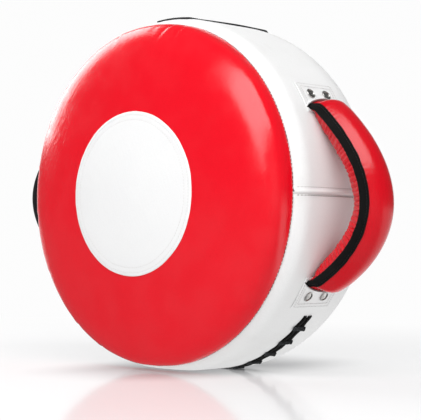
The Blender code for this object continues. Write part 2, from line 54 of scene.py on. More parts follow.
BAND_WIDTH = 0.160
FRONT_SHOULDER = 0.020
BACK_SHOULDER = 0.060
FACE_RISE = 0.0548
FACE_SPREAD = 1.46
FACE_WALL = 3.9
BACK_RISE = 0.004
BACK_FLAT = 0.120              # radius of the back's flat middle
LEATHER = 0.0016
TARGET_RADIUS = 0.095
TARGET = 0.0010
STRAP_LINE = 0.070
SLIT_ANGLE = 27.8
SLIT_HEIGHT = BAND_RADIUS * math.sin(math.radians(SLIT_ANGLE))
PATCH = 0.0012
PATCH_HALF_WIDTH = 0.032
PATCH_INNER_ANGLE = 26.1
PATCH_OUTER_ANGLE = 37.1
RIVET_ANGLE = 32.3
RIVET_SPACING = 0.028
RIVET_RADIUS = 0.0062
PAD_HALF_WIDTH = 0.02725
ARM_ROOT = 0.1920
ARM_APEX = 0.2591
ARM_DROOP = 0.0095
GRIP_ROOT = 0.1937
GRIP_APEX = 0.2825
GRIP_WIDTH = 0.050
GRIP_THICKNESS = 0.0024
HANDLE_WIDTH = 0.050
HANDLE_BOW = 0.0011            # how far the top handle stands up between its two fastenings
CLOSURE_LINE = 0.080
CLOSURE_HALF_ANGLE = 49.0
LACE_PITCH = 0.0265
LACE_RADIUS = 0.0014
CLOSURE_MARGIN = 1.5           # degrees from the tapes' ends to the opening's
MOUTH_HALF_WIDTH = (0.0310, 0.0270)     # the straps' mouths, at the arm strap and at the grip
MOUTH_LIFT = (0.0086, 0.0019)
MOUTH_TRIM = (1.5, 0.2)        # how far the band above a mouth is drawn up, in degrees
MOUTH_TRIM_END = 35.0          # and the angle where that ends
MOUTH_WALL = 0.0022            # from a slit to the lifted edge above it
MOUTH_EASE = 0.004             # over which the lift sets in
TARGET_ROWS = (0.0041, 0.0099)          # rows of stitches, from the edge inwards
PATCH_ROWS = (0.0018, 0.0058)
ROOTS = [(strap, side, word, level) for strap, side in (("arm", 1), ("grip", -1))
         for word, level in (("upper", 1), ("lower", -1))]
CLOTH_STEPS = 20
SOFTNESS = 0.0012              # how softly the drum's underside turns level on the floor

# Where the photograph was taken from, round the middle of the front seam
AZIMUTH = 42.5448
ELEVATION = -1.8627
ROLL = -0.2005
DISTANCE = 1.7671
AIM_ACROSS = 0.0573
AIM_UP = -0.0176
LENS = 128.62
SENSOR_WIDTH = 36.0
DRUM_ROLL = 1.3                # the drum in the photograph has rolled this far, in degrees
WHITE = (1.0, 1.0, 1.0, 1.0)
WRINKLES_PER_METRE = (330.0, 330.0, 42.0)
ROOM_DIM = 0.14                # how bright the room looks in what mirrors it
ROOM_SOFT = 0.28               # and for what it lights softly
BACKDROP = 0.98
FLOOR_GLOSS = 0.27
FLOOR_ROUGHNESS = 0.09
FLOOR_GLOW = 0.43
FLOOR_RETURN = 1.12            # how brightly the floor lights the drum
KEY_POWER = 37.0
STRIP_POWER = 18.0
FILL_ABOVE_POWER = 4.0
FILL_RIGHT_POWER = 4.2


def bell(distance, width):
    """1 at no distance, falling softly to 0 beyond the width."""
    return np.exp(-(distance / width) ** 2)


def unit(vectors, least=0.0):
    return vectors / (np.linalg.norm(vectors, axis=-1, keepdims=True) + least)


def run_of(steps):
    """Distance from the start of a line, at each of its points."""
    return np.concatenate([[0], np.cumsum(steps)])


def pairs_of(first, second):
    """Two coordinates for each point of a grid."""
    return np.stack(np.broadcast_arrays(first, second), -1)


def linked(name, data):
    """A new object, put in the scene."""
    item = bpy.data.objects.new(name, data)
    bpy.context.scene.collection.objects.link(item)
    return item


def place_camera():
    turn, lift, roll = (math.radians(angle) for angle in (AZIMUTH, ELEVATION, ROLL))
    rolled = Matrix.Rotation(math.radians(-DRUM_ROLL), 3, "Y")
    back = Vector((math.sin(turn) * math.cos(lift), -math.cos(turn) * math.cos(lift), math.sin(lift)))
    level = Vector((math.cos(turn), math.sin(turn), 0.0))
    upright = back.cross(level)
    right = level * math.cos(roll) + upright * math.sin(roll)
    up = upright * math.cos(roll) - level * math.sin(roll)
    back, right, up = rolled @ back, rolled @ right, rolled @ up
    seam_centre = Vector((0.0, -REST_POINT, AXIS_HEIGHT))
    place = seam_centre + back * DISTANCE + right * AIM_ACROSS + up * AIM_UP
    lens = bpy.data.cameras.new("camera")
    lens.lens = LENS
    lens.sensor_width = SENSOR_WIDTH
    lens.clip_start = 0.01
    camera = linked("camera", lens)
    camera.matrix_world = Matrix((
        (right.x, up.x, back.x, place.x),
        (right.y, up.y, back.y, place.y),
        (right.z, up.z, back.z, place.z),
        (0.0, 0.0, 0.0, 1.0)))
    bpy.context.scene.camera = camera


# Shader groups and materials

def feed(tree, node, values):
    """Sets a node's inputs, or links them where the value comes from another node."""
    for key, value in dict(values).items():
        if isinstance(value, bpy.types.NodeSocket):
            tree.links.new(value, node.inputs[key])
        else:
            node.inputs[key].default_value = value


def add(tree, kind, values=(), **settings):
    """A node with its settings, and its inputs set or linked."""
    node = tree.nodes.new(kind)
    for key, value in settings.items():
        setattr(node, key, value)
    feed(tree, node, values)
    return node


def out_of(tree, kind, values=(), **settings):
    """The first output of a new node."""
    return add(tree, kind, values, **settings).outputs[0]


def arithmetic(tree, operation, first, second=0.0):
    return out_of(tree, "ShaderNodeMath", {0: first, 1: second}, operation=operation)


def product(tree, first, second):
    return arithmetic(tree, "MULTIPLY", first, second)


def vector(tree, operation, first, second=(0.0, 0.0, 0.0)):
    node = add(tree, "ShaderNodeVectorMath", {0: first, 1: second}, operation=operation)
    return node.outputs["Value" if operation in ("LENGTH", "DOT_PRODUCT") else 0]


def object_place(tree):
    return add(tree, "ShaderNodeTexCoord").outputs["Object"]


def noise(tree, place, scale, detail, roughness=0.5):
    return out_of(tree, "ShaderNodeTexNoise",
                  {"Vector": place, "Scale": scale, "Detail": detail, "Roughness": roughness})


def graded(tree, value, low, high, start=0.0, end=1.0):
    """A value's share between low and high, eased and carried to start and end."""
    return out_of(tree, "ShaderNodeMapRange", {0: value, 1: low, 2: high, 3: start, 4: end},
                  interpolation_type="SMOOTHSTEP")


def blended(tree, share, first, second):
    """A mix of two colours, each three numbers or what another node gives."""
    first, second = ((*colour, 1.0) if isinstance(colour, tuple) else colour for colour in (first, second))
    return add(tree, "ShaderNodeMix", {0: share, 6: first, 7: second}, data_type="RGBA").outputs[2]


def shader_group(name, inputs, outputs):
    tree = bpy.data.node_groups.new(name, "ShaderNodeTree")
    for label, value in inputs.items():
        tree.interface.new_socket(label, in_out="INPUT", socket_type="NodeSocketFloat").default_value = value
    for label in outputs:
        tree.interface.new_socket(label, in_out="OUTPUT", socket_type="NodeSocketFloat")
    return tree, tree.nodes.new("NodeGroupInput").outputs, tree.nodes.new("NodeGroupOutput")


def make_leather_grain():
    """Pebbled grain with fine wrinkles, stronger towards the hand grip.

    Height is in units of its depth. Tone and Shine run 0 to 1.
    """
    inputs = {"Pebble": 0.0013, "Wrinkle": 3.0, "Lean": 0.0, "Seed": 0.0}
    tree, given, out = shader_group("leather_grain", inputs, ["Height", "Tone", "Shine"])
    shift = out_of(tree, "ShaderNodeCombineXYZ", {0: given["Seed"]})
    place = vector(tree, "ADD", object_place(tree), shift)
    density = arithmetic(tree, "DIVIDE", 1.0, given["Pebble"])
    pebbles = out_of(tree, "ShaderNodeTexVoronoi", {"Vector": place, "Scale": density},
                     feature="DISTANCE_TO_EDGE")
    valley = graded(tree, pebbles, 0.0, 0.22)
    pores = noise(tree, place, product(tree, density, 0.45), 2.0)
    height = arithmetic(tree, "ADD", product(tree, valley, 0.6), product(tree, pores, 0.5))
    leaning = out_of(tree, "ShaderNodeVectorRotate", {"Vector": place, "Angle": given["Lean"]},
                     rotation_type="Y_AXIS")
    drawn = vector(tree, "MULTIPLY", leaning, WRINKLES_PER_METRE)
    wrinkles = graded(tree, noise(tree, drawn, 1.0, 2.0), 0.42, 0.66)
    sideways = out_of(tree, "ShaderNodeSeparateXYZ", {0: place})
    strength = product(tree, graded(tree, sideways, -0.19, -0.07, 3.2, 1.0), given["Wrinkle"])
    clouds = product(tree, graded(tree, noise(tree, place, 14.0, 3.0), 0.3, 0.7), 0.25)
    feed(tree, out, {"Height": arithmetic(tree, "ADD", height, product(tree, wrinkles, strength)),
                     "Tone": arithmetic(tree, "ADD", clouds, product(tree, valley, 0.75)),
                     "Shine": graded(tree, noise(tree, place, 33.0, 4.0), 0.25, 0.75)})
    return tree


def make_webbing_weave():
    """Twill ribs across a webbing, from its own map in metres: across in U, along in V."""
    tree, given, out = shader_group("webbing_weave", {"Rib": 0.0021, "Chevron": 0.0085}, ["Height", "Tone"])
    lay = out_of(tree, "ShaderNodeUVMap", uv_map="lay")
    across, along = add(tree, "ShaderNodeSeparateXYZ", {0: lay}).outputs[:2]
    zigzag = arithmetic(tree, "PINGPONG", across, given["Chevron"])
    phase = arithmetic(tree, "DIVIDE", arithmetic(tree, "ADD", along, zigzag), given["Rib"])
    ribs = arithmetic(tree, "SINE", product(tree, phase, 2 * math.pi))
    yarns = arithmetic(tree, "SINE", product(tree, across, 2 * math.pi / 0.0013))
    height = arithmetic(tree, "ADD", product(tree, ribs, 0.5), product(tree, yarns, 0.28))
    height = arithmetic(tree, "ADD", height, product(tree, noise(tree, lay, 1300.0, 2.0), 0.8))
    feed(tree, out, {"Height": height, "Tone": graded(tree, height, -0.4, 1.1)})
    return tree


def make_handling_wear():
    """Soft smudges and rubbed patches. Smudge runs 0 to 1."""
    tree, given, out = shader_group("handling_wear", {"Spread": 9.0, "Amount": 0.4}, ["Smudge"])
    cloud = noise(tree, object_place(tree), given["Spread"], 6.0, 0.6)
    feed(tree, out, {"Smudge": product(tree, graded(tree, cloud, 0.48, 0.72), given["Amount"])})
    return tree


def new_material(name, roughness, specular, metallic=0.0):
    made = bpy.data.materials.new(name)
    made.use_nodes = True
    shader = made.node_tree.nodes["Principled BSDF"]
    feed(made.node_tree, shader, {"Roughness": roughness, "Specular IOR Level": specular, "Metallic": metallic})
    return made, made.node_tree, shader


def raise_bump(tree, shader, height, depth):
    bump = out_of(tree, "ShaderNodeBump", {"Height": height, "Distance": depth, "Strength": 1.0})
    feed(tree, shader, {"Normal": bump})


def place_group(tree, group, **values):
    return add(tree, "ShaderNodeGroup", node_tree=group, values=values).outputs


def make_leather(name, deep, full, roughness, specular, pebble, depth, seed, lean, smudge=0.0, soiled=None):
    """Coated leather: the colour deepens in the grain and the shine varies with handling."""
    made, tree, shader = new_material(name, roughness, specular)
    grain = place_group(tree, LEATHER_GRAIN, Pebble=pebble, Lean=lean, Seed=seed)
    colour = blended(tree, grain["Tone"], deep, full)
    if soiled:
        colour = blended(tree, place_group(tree, HANDLING_WEAR, Amount=smudge)["Smudge"], colour, soiled)
    shine = graded(tree, grain["Shine"], 0.0, 1.0, roughness - 0.03, roughness + 0.05)
    feed(tree, shader, {"Base Color": colour, "Roughness": shine})
    raise_bump(tree, shader, grain["Height"], depth)
    return made


def make_woven(name, deep, full, roughness, rib, chevron, depth):
    """Webbing, tape or lace, paler where it is rubbed."""
    made, tree, shader = new_material(name, roughness, 0.10)
    weave = place_group(tree, WEBBING_WEAVE, Rib=rib, Chevron=chevron)
    wear = place_group(tree, HANDLING_WEAR, Amount=0.25, Spread=30.0)["Smudge"]
    colour = blended(tree, wear, blended(tree, weave["Tone"], deep, full), tuple(2.2 * value for value in full))
    feed(tree, shader, {"Base Color": colour, "Sheen Weight": 0.03, "Sheen Roughness": 0.5})
    raise_bump(tree, shader, weave["Height"], depth)
    return made


def make_thread(name, deep, full):
    """Twisted thread, its plies seen as fine slanting lines."""
    made, tree, shader = new_material(name, 0.6, 0.3)
    plies = add(tree, "ShaderNodeTexWave", {"Vector": object_place(tree), "Scale": 900.0, "Distortion": 1.5},
                bands_direction="DIAGONAL").outputs["Fac"]
    feed(tree, shader, {"Base Color": blended(tree, plies, deep, full)})
    raise_bump(tree, shader, plies, 0.0001)
    return made


def make_foam(name, deep, full, cell):
    made, tree, shader = new_material(name, 0.95, 0.2)
    cells = out_of(tree, "ShaderNodeTexVoronoi", {"Vector": object_place(tree), "Scale": 1.0 / cell})
    feed(tree, shader, {"Base Color": blended(tree, graded(tree, cells, 0.1, 0.6), full, deep)})
    raise_bump(tree, shader, cells, 0.0004)
    return made


def make_plated_metal(name):
    """Nickel plating with fine scratches, darker where it has dulled."""
    made, tree, shader = new_material(name, 0.18, 0.5, 1.0)
    place = object_place(tree)
    dull = noise(tree, place, 420.0, 4.0)
    colour = blended(tree, graded(tree, dull, 0.35, 0.7), (0.62, 0.61, 0.60), (0.42, 0.40, 0.38))
    feed(tree, shader, {"Base Color": colour, "Roughness": graded(tree, dull, 0.3, 0.7, 0.14, 0.34)})
    raise_bump(tree, shader, noise(tree, place, 2600.0, 2.0), 0.00003)
    return made


LEATHER_GRAIN = make_leather_grain()
WEBBING_WEAVE = make_webbing_weave()
HANDLING_WEAR = make_handling_wear()
# Each takes the colour deep in its grain and the colour on top
RED_LEATHER = make_leather("red_leather", (0.67, 0.0006, 0.009), (0.73, 0.0010, 0.012), roughness=0.21,
                           specular=0.60, pebble=0.0011, depth=0.000012, seed=0.0, lean=-0.55)
# The strap's leather is the face's red made deeper, as painted shade for the strap
STRAP_LEATHER_PAINTED_DARK = make_leather("strap_leather", (0.48, 0.0003, 0.006), (0.56, 0.0006, 0.009), roughness=0.22,
                             specular=0.46, pebble=0.0010, depth=0.000012, seed=3.7, lean=0.3)
WHITE_LEATHER = make_leather("white_leather", (0.70, 0.70, 0.70), (0.75, 0.75, 0.75), roughness=0.50,
                             specular=0.12, pebble=0.0012, depth=0.00002, seed=1.3, lean=0.0,
                             smudge=0.35, soiled=(0.60, 0.59, 0.58))
TARGET_LEATHER = make_leather("target_leather", (0.72, 0.72, 0.725), (0.76, 0.76, 0.76), roughness=0.45,
                              specular=0.22, pebble=0.0012, depth=0.00002, seed=5.1, lean=0.4,
                              smudge=0.25, soiled=(0.66, 0.66, 0.66))
PATCH_LEATHER = make_leather("patch_leather", (0.71, 0.71, 0.71), (0.76, 0.76, 0.76), roughness=0.45,
                             specular=0.15, pebble=0.0010, depth=0.00002, seed=2.2, lean=0.8,
                             smudge=0.30, soiled=(0.68, 0.67, 0.65))
WEBBING = make_woven("black_webbing", (0.006, 0.006, 0.007), (0.022, 0.022, 0.024), roughness=0.8,
                     rib=0.0021, chevron=0.0085, depth=0.0003)
BINDING_TAPE = make_woven("binding_tape", (0.002, 0.0018, 0.0018), (0.008, 0.0075, 0.0075), roughness=0.9,
                          rib=0.0012, chevron=0.0030, depth=0.0002)
LACE_CORD = make_woven("lace_cord", (0.012, 0.012, 0.013), (0.045, 0.048, 0.052), roughness=0.7,
                       rib=0.0015, chevron=0.0016, depth=0.0003)
DARK_THREAD = make_thread("dark_thread", (0.10, 0.075, 0.07), (0.20, 0.16, 0.15))
GREY_THREAD = make_thread("grey_thread", (0.34, 0.33, 0.33), (0.56, 0.55, 0.54))
PALE_THREAD = make_thread("pale_thread", (0.74, 0.72, 0.71), (0.86, 0.85, 0.84))
SEAM_THREAD = make_thread("seam_thread", (0.50, 0.46, 0.46), (0.72, 0.70, 0.69))
BLACK_THREAD = make_thread("black_thread", (0.004, 0.004, 0.004), (0.016, 0.016, 0.016))
SOFT_FOAM = make_foam("soft_foam", (0.16, 0.16, 0.18), (0.32, 0.32, 0.34), 0.0016)
FIRM_FOAM = make_foam("firm_foam", (0.46, 0.40, 0.28), (0.70, 0.64, 0.50), 0.0011)
PLATED_METAL = make_plated_metal("plated_metal")


# Sheets made from grids of points

def build_mesh(name, points, faces, look, lay=None):
    """A mesh object of the given points and faces. lay gives each point its place on the cloth, in metres."""
    mesh = bpy.data.meshes.new(name)
    mesh.from_pydata([tuple(point) for point in points], [], faces)
    if lay is not None:
        corners = np.zeros(len(mesh.loops), np.int32)
        mesh.loops.foreach_get("vertex_index", corners)
        layer = mesh.uv_layers.new(name="lay")
        layer.data.foreach_set("uv", np.asarray(lay, np.float32)[corners].ravel())
    work = bmesh.new()
    work.from_mesh(mesh)
    bmesh.ops.remove_doubles(work, verts=work.verts, dist=2e-6)
    bmesh.ops.delete(work, geom=[vert for vert in work.verts if not vert.link_faces], context="VERTS")
    work.to_mesh(mesh)
    work.free()
    mesh.shade_smooth()
    mesh.set_sharp_from_angle(angle=math.radians(50))
    mesh.materials.append(look)
    return linked(name, mesh)


def outward_of(grid, around=False):
    """Outward direction at each point of a grid whose rows run front to back and columns clockwise."""
    if around:
        along = (np.roll(grid, -1, 1) - np.roll(grid, 1, 1)) / 2
    else:
        along = np.gradient(grid, axis=1)
    return unit(np.cross(along, np.gradient(grid, axis=0)), 1e-12)


def corners_of(row, column, columns):
    """The four points round a cell of a grid whose points are counted row by row."""
    here, below, beside = row * columns, (row + 1) * columns, (column + 1) % columns
    return here + column, here + beside, below + beside, below + column


def build_sheet(name, outer, thickness, look, around=False, open_cells=None, lay=None):
    """A closed sheet of leather or webbing under a grid of points, with walls round its edges and openings."""
    inner = outer - outward_of(outer, around) * thickness
    rows, columns = outer.shape[:2]
    spans = columns if around else columns - 1
    filled = np.ones((rows - 1, spans), bool)
    if open_cells is not None:
        filled &= ~open_cells
    under = rows * columns
    faces = []
    for row in range(rows - 1):
        for column in range(spans):
            if not filled[row, column]:
                continue
            corners = corners_of(row, column, columns)
            faces.append(corners)
            faces.append(tuple(corner + under for corner in reversed(corners)))
            nearby = ((row - 1, column), (row, column + 1), (row + 1, column), (row, column - 1))
            for edge, (next_row, next_column) in enumerate(nearby):
                if around:
                    next_column %= spans
                inside = 0 <= next_row < rows - 1 and 0 <= next_column < spans
                if inside and filled[next_row, next_column]:
                    continue
                first, second = corners[edge], corners[(edge + 1) % 4]
                faces.append((second, first, first + under, second + under))
    points = np.concatenate([outer.reshape(-1, 3), inner.reshape(-1, 3)])
    if lay is not None:
        lay = np.concatenate([lay.reshape(-1, 2)] * 2)
    return build_mesh(name, points, faces, look, lay)


def halved(values, axis, around=False):
    """One step of cubic subdivision of a grid along an axis."""
    values = np.moveaxis(values, axis, 0)
    if around:
        before, after = np.roll(values, 1, 0), np.roll(values, -1, 0)
        kept = (before + 6 * values + after) / 8
        between = (values + after) / 2
        finer = np.stack([kept, between], 1).reshape(-1, *values.shape[1:])
    else:
        kept = values.copy()
        kept[1:-1] = (values[:-2] + 6 * values[1:-1] + values[2:]) / 8
        between = (values[:-1] + values[1:]) / 2
        finer = np.empty((len(values) * 2 - 1, *values.shape[1:]))
        finer[0::2] = kept
        finer[1::2] = between
    return np.moveaxis(finer, 0, axis)


def swell(grid, around, held, pressure, slack, cap):
    """Lets a panel take its shape as cloth over the foam's pressure, held where it is sewn."""
    rows, columns = grid.shape[:2]
    spans = columns if around else columns - 1
    faces = [corners_of(row, column, columns) for row in range(rows - 1) for column in range(spans)]
    mesh = bpy.data.meshes.new("panel")
    mesh.from_pydata([tuple(point) for point in grid.reshape(-1, 3)], [], faces)
    panel = linked("panel", mesh)
    group = panel.vertex_groups.new(name="sewn")
    group.add([int(index) for index in np.flatnonzero(held.ravel())], 1.0, "REPLACE")
    settings = panel.modifiers.new("cloth", "CLOTH").settings
    leather = {"quality": 6, "mass": 0.35, "tension_stiffness": 25.0, "compression_stiffness": 25.0,
               "shear_stiffness": 12.0, "bending_stiffness": 0.8, "air_damping": 4.0, "use_pressure": True,
               "uniform_pressure_force": pressure, "shrink_min": -slack, "vertex_group_mass": "sewn"}
    for label, value in leather.items():
        setattr(settings, label, value)
    settings.effector_weights.gravity = 0.0
    for step in range(1, CLOTH_STEPS + 1):
        bpy.context.scene.frame_set(step)
    settled = panel.evaluated_get(bpy.context.evaluated_depsgraph_get()).data
    moved = np.zeros(len(settled.vertices) * 3, np.float32)
    settled.vertices.foreach_get("co", moved)
    bpy.context.scene.frame_set(1)
    bpy.data.objects.remove(panel)
    shift = moved.reshape(grid.shape).astype(float) - grid
    length = np.linalg.norm(shift, axis=-1, keepdims=True)
    return grid + shift * np.minimum(1.0, cap / np.maximum(length, 1e-9))


def ride_with(piece, body, slot, *nodes):
    """Puts a piece under its body's empty and hides the CAD nodes that it stands for. slot is not used."""
    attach(piece, body)
    if nodes:
        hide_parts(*nodes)


# The drum: its section, and the mouths that its straps push open

def band_radius(place):
    """The band's radius at a distance behind the front seam."""
    rise = 1 - (1 - np.clip(place / FRONT_SHOULDER, 0, 1)) ** 2
    fall = np.clip((place - (BAND_WIDTH - BACK_SHOULDER)) / BACK_SHOULDER, 0, 1)
    return (SEAM_RADIUS + (BAND_RADIUS - SEAM_RADIUS) * rise
            - (BAND_RADIUS - BACK_SEAM_RADIUS) * (1 - np.sqrt(1 - fall ** 2)))


def climb_and_side(angle):
    """Degrees above the drum's level, and 1 on the arm strap's side or -1 on the grip's."""
    turned = (angle + 180) % 360 - 180
    return 90 - np.abs(turned), np.where(turned >= 0, 1.0, -1.0)


def mouth_share(place, side):
    """1 at the middle of a strap's mouth, 0 at its corners and beyond."""
    half = np.where(side > 0, *MOUTH_HALF_WIDTH)
    return np.clip(1 - np.abs((place - STRAP_LINE) / half) ** 2.2, 0, 1)


def on_drum(place, radius, angle):
    """Points at a distance behind the front seam, with the mouths lifted and the underside pressed level."""
    place, radius, angle = np.broadcast_arrays(*(np.asarray(value, float) for value in (place, radius, angle)))
    climb, side = climb_and_side(angle)
    level = np.where(climb >= 0, 1.0, -1.0)
    climb = np.abs(climb)
    share = mouth_share(place, side)
    opened = np.where(side > 0, *MOUTH_LIFT) * share
    above = np.clip((climb - SLIT_ANGLE + 0.01) / 0.01, 0, 1) * (share > 0)
    trim = np.where(side > 0, *MOUTH_TRIM) * share
    trim = trim * np.clip((MOUTH_TRIM_END - climb) / (MOUTH_TRIM_END - SLIT_ANGLE), 0, 1)
    climb = climb + trim * above
    across = radius * np.cos(np.radians(climb))
    height = radius * np.sin(np.radians(climb))
    hinge = np.degrees(np.arcsin(np.clip((SLIT_HEIGHT + opened + MOUTH_WALL) / BAND_RADIUS, -1, 1)))
    over = np.radians(np.clip(hinge - climb, 0, 20)) * radius * above
    ease = np.clip(over / MOUTH_EASE, 0, 1)
    ease = ease * ease * (3 - 2 * ease)
    proud = radius - BAND_RADIUS
    lifted_across = BAND_RADIUS * np.cos(np.radians(hinge)) + over * 0.97 + proud * 0.5
    lifted_height = BAND_RADIUS * np.sin(np.radians(hinge)) - over * 0.10 + proud * 0.9
    across = across + (lifted_across - across) * ease
    height = height + (lifted_height - height) * ease
    height = height * level
    height = SOFTNESS * np.log1p(np.exp((height + AXIS_HEIGHT) / SOFTNESS)) - AXIS_HEIGHT
    return np.stack([across * side, place - REST_POINT, AXIS_HEIGHT + height], -1)


def waves(values, seed, count, low, high):
    """A smooth random curve between -1 and 1, made of a few sine waves."""
    chance = np.random.default_rng(seed)
    total = np.zeros_like(values, float)
    for _ in range(count):
        total += np.sin(values * chance.uniform(low, high) + chance.uniform(0, 2 * math.pi))
    return total / count


def between_lines(start, end, pitch, *lines):
    """Even steps from start to end, with extra lines where edges have to fall."""
    even = np.linspace(start, end, max(2, int(round(abs(end - start) / pitch)) + 1))
    kept = [value for value in even if all(abs(value - line) > pitch * 0.35 for line in lines)]
    return np.array(sorted([*kept, *lines, start, end]))


# Stitches and rivets, set out by Geometry Nodes

def geometry_tree(name, inputs):
    tree = bpy.data.node_groups.new(name, "GeometryNodeTree")
    tree.interface.new_socket("Geometry", in_out="INPUT", socket_type="NodeSocketGeometry")
    for label, kind in inputs:
        tree.interface.new_socket(label, in_out="INPUT", socket_type=kind)
    tree.interface.new_socket("Geometry", in_out="OUTPUT", socket_type="NodeSocketGeometry")
    return tree, tree.nodes.new("NodeGroupInput").outputs, tree.nodes.new("NodeGroupOutput")


def upright_on(tree, forward):
    """A turn that lays X along the row and Z along the stored outward direction."""
    outward = out_of(tree, "GeometryNodeInputNamedAttribute", {"Name": "outward"}, data_type="FLOAT_VECTOR")
    return out_of(tree, "FunctionNodeAxesToRotation", {0: outward, 1: forward},
                  primary_axis="Z", secondary_axis="X")


def sized(tree, shape, across, deep, long):
    size = out_of(tree, "ShaderNodeCombineXYZ", {0: across, 1: deep, 2: long})
    return out_of(tree, "GeometryNodeTransform", {"Geometry": shape, "Scale": size})


def set_on(tree, out, points, shape, turned, look):
    """A copy of the shape on each point, as one mesh with a material."""
    copies = out_of(tree, "GeometryNodeInstanceOnPoints",
                    {"Points": points, "Instance": shape, "Rotation": turned})
    solid = out_of(tree, "GeometryNodeRealizeInstances", {0: copies})
    smooth = out_of(tree, "GeometryNodeSetShadeSmooth", {0: solid})
    looked = out_of(tree, "GeometryNodeSetMaterial", {"Geometry": smooth, "Material": look})
    feed(tree, out, {"Geometry": looked})


def make_stitch_tree():
    """Short stitches at an even pitch along a sewn line."""
    tree, given, out = geometry_tree("stitch_row", [
        ("Pitch", "NodeSocketFloat"), ("Stitch Length", "NodeSocketFloat"),
        ("Thread", "NodeSocketFloat"), ("Slant", "NodeSocketFloat"), ("Look", "NodeSocketMaterial")])
    line = out_of(tree, "GeometryNodeMeshToCurve", {0: given["Geometry"]})
    spaced = out_of(tree, "GeometryNodeResampleCurve", {"Curve": line, "Length": given["Pitch"]}, mode="LENGTH")
    bead = out_of(tree, "GeometryNodeMeshUVSphere", {"Segments": 6, "Rings": 5, "Radius": 1.0})
    half_thread = product(tree, given["Thread"], 0.5)
    bead = sized(tree, bead, half_thread, half_thread, product(tree, given["Stitch Length"], 0.5))
    lean = out_of(tree, "ShaderNodeCombineXYZ", {1: math.pi / 2, 2: given["Slant"]})
    bead = out_of(tree, "GeometryNodeTransform", {"Geometry": bead, "Rotation": lean})
    turned = upright_on(tree, out_of(tree, "GeometryNodeInputTangent"))
    set_on(tree, out, spaced, bead, turned, given["Look"])
    return tree


def make_rivet_tree():
    """Low domed caps with a rolled rim, one on each point."""
    tree, given, out = geometry_tree("rivet_caps", [
        ("Radius", "NodeSocketFloat"), ("Height", "NodeSocketFloat"), ("Look", "NodeSocketMaterial")])
    dome = out_of(tree, "GeometryNodeMeshUVSphere", {"Segments": 28, "Rings": 14, "Radius": 1.0})
    inner = product(tree, given["Radius"], 0.88)
    dome = sized(tree, dome, inner, inner, given["Height"])
    path = out_of(tree, "GeometryNodeCurvePrimitiveCircle", {"Resolution": 28, "Radius": inner})
    roll = product(tree, given["Radius"], 0.12)
    section = out_of(tree, "GeometryNodeCurvePrimitiveCircle", {"Resolution": 10, "Radius": roll})
    rim = out_of(tree, "GeometryNodeCurveToMesh", {0: path, 1: section})
    seat = out_of(tree, "ShaderNodeCombineXYZ", {2: roll})
    rim = out_of(tree, "GeometryNodeTransform", {"Geometry": rim, "Translation": seat})
    both = tree.nodes.new("GeometryNodeJoinGeometry")
    tree.links.new(dome, both.inputs[0])
    tree.links.new(rim, both.inputs[0])
    points = out_of(tree, "GeometryNodeMeshToPoints", {0: given["Geometry"]})
    set_on(tree, out, points, both.outputs[0], upright_on(tree, (0.0, 1.0, 0.0)), given["Look"])
    return tree


def grown(name, tree, lines, **inputs):
    """The plain mesh that a Geometry Nodes tree makes from lines of points, each with its outward direction."""
    edges, start = [], 0
    for line, outward in lines:
        edges += [(start + step, start + step + 1) for step in range(len(line) - 1)]
        start += len(line)
    mesh = bpy.data.meshes.new(name + "_line")
    mesh.from_pydata([tuple(point) for line, outward in lines for point in line], edges, [])
    stored = mesh.attributes.new("outward", "FLOAT_VECTOR", "POINT")
    outwards = np.concatenate([outward for line, outward in lines])
    stored.data.foreach_set("vector", outwards.astype(np.float32).ravel())
    source = linked(name + "_line", mesh)
    change = source.modifiers.new("rows", "NODES")
    change.node_group = tree
    for item in tree.interface.items_tree:
        if item.in_out == "INPUT" and item.name in inputs:
            change[item.identifier] = inputs[item.name]
    made = bpy.data.meshes.new_from_object(source.evaluated_get(bpy.context.evaluated_depsgraph_get()))
    made.name = name
    bpy.data.objects.remove(source)
    return linked(name, made)


STITCH_ROW = make_stitch_tree()
RIVET_CAPS = make_rivet_tree()


def stitched(name, lines, look, slant=0.0, *, pitch, length, thread):
    return grown(name, STITCH_ROW, lines, **{
        "Pitch": pitch, "Stitch Length": length, "Thread": thread, "Slant": slant, "Look": look})


def sew_drum(name, *row, **sizes):
    """Rows of stitches on the drum itself."""
    ride_with(stitched(name, *row, **sizes), "shield", "lace")


def drum_line(place, angle, lift):
    """A sewn line on the band, with its outward directions."""
    place, angle = np.broadcast_arrays(np.asarray(place, float), np.asarray(angle, float))
    points = on_drum(place, band_radius(place) + lift, angle)
    beyond = on_drum(place, band_radius(place) + lift + 0.001, angle)
    return points, unit(beyond - points, 1e-12)


# Struck face

def face_profile(rows):
    """Even steps along the face, from its middle to the front seam, as places and radii."""
    turn = np.radians(90 * np.linspace(1, 0, 4001) ** 2)
    place = -FACE_RISE * np.sin(turn) ** (2 / FACE_WALL)
    radius = SEAM_RADIUS * np.clip(np.cos(turn), 0, 1) ** (2 / FACE_SPREAD)
    length = run_of(np.hypot(np.diff(place), np.diff(radius)))
    even = np.linspace(0, length[-1], rows)
    return np.interp(even, length, place), np.interp(even, length, radius), length[-1]


def along_rows(grid, index):
    """Points between a grid's rows, at fractional row numbers."""
    low = np.clip(np.floor(index).astype(int), 0, len(grid) - 2)
    share = (index - low)[..., None]
    columns = np.arange(grid.shape[1])
    return grid[low, columns] * (1 - share) + grid[low + 1, columns] * share


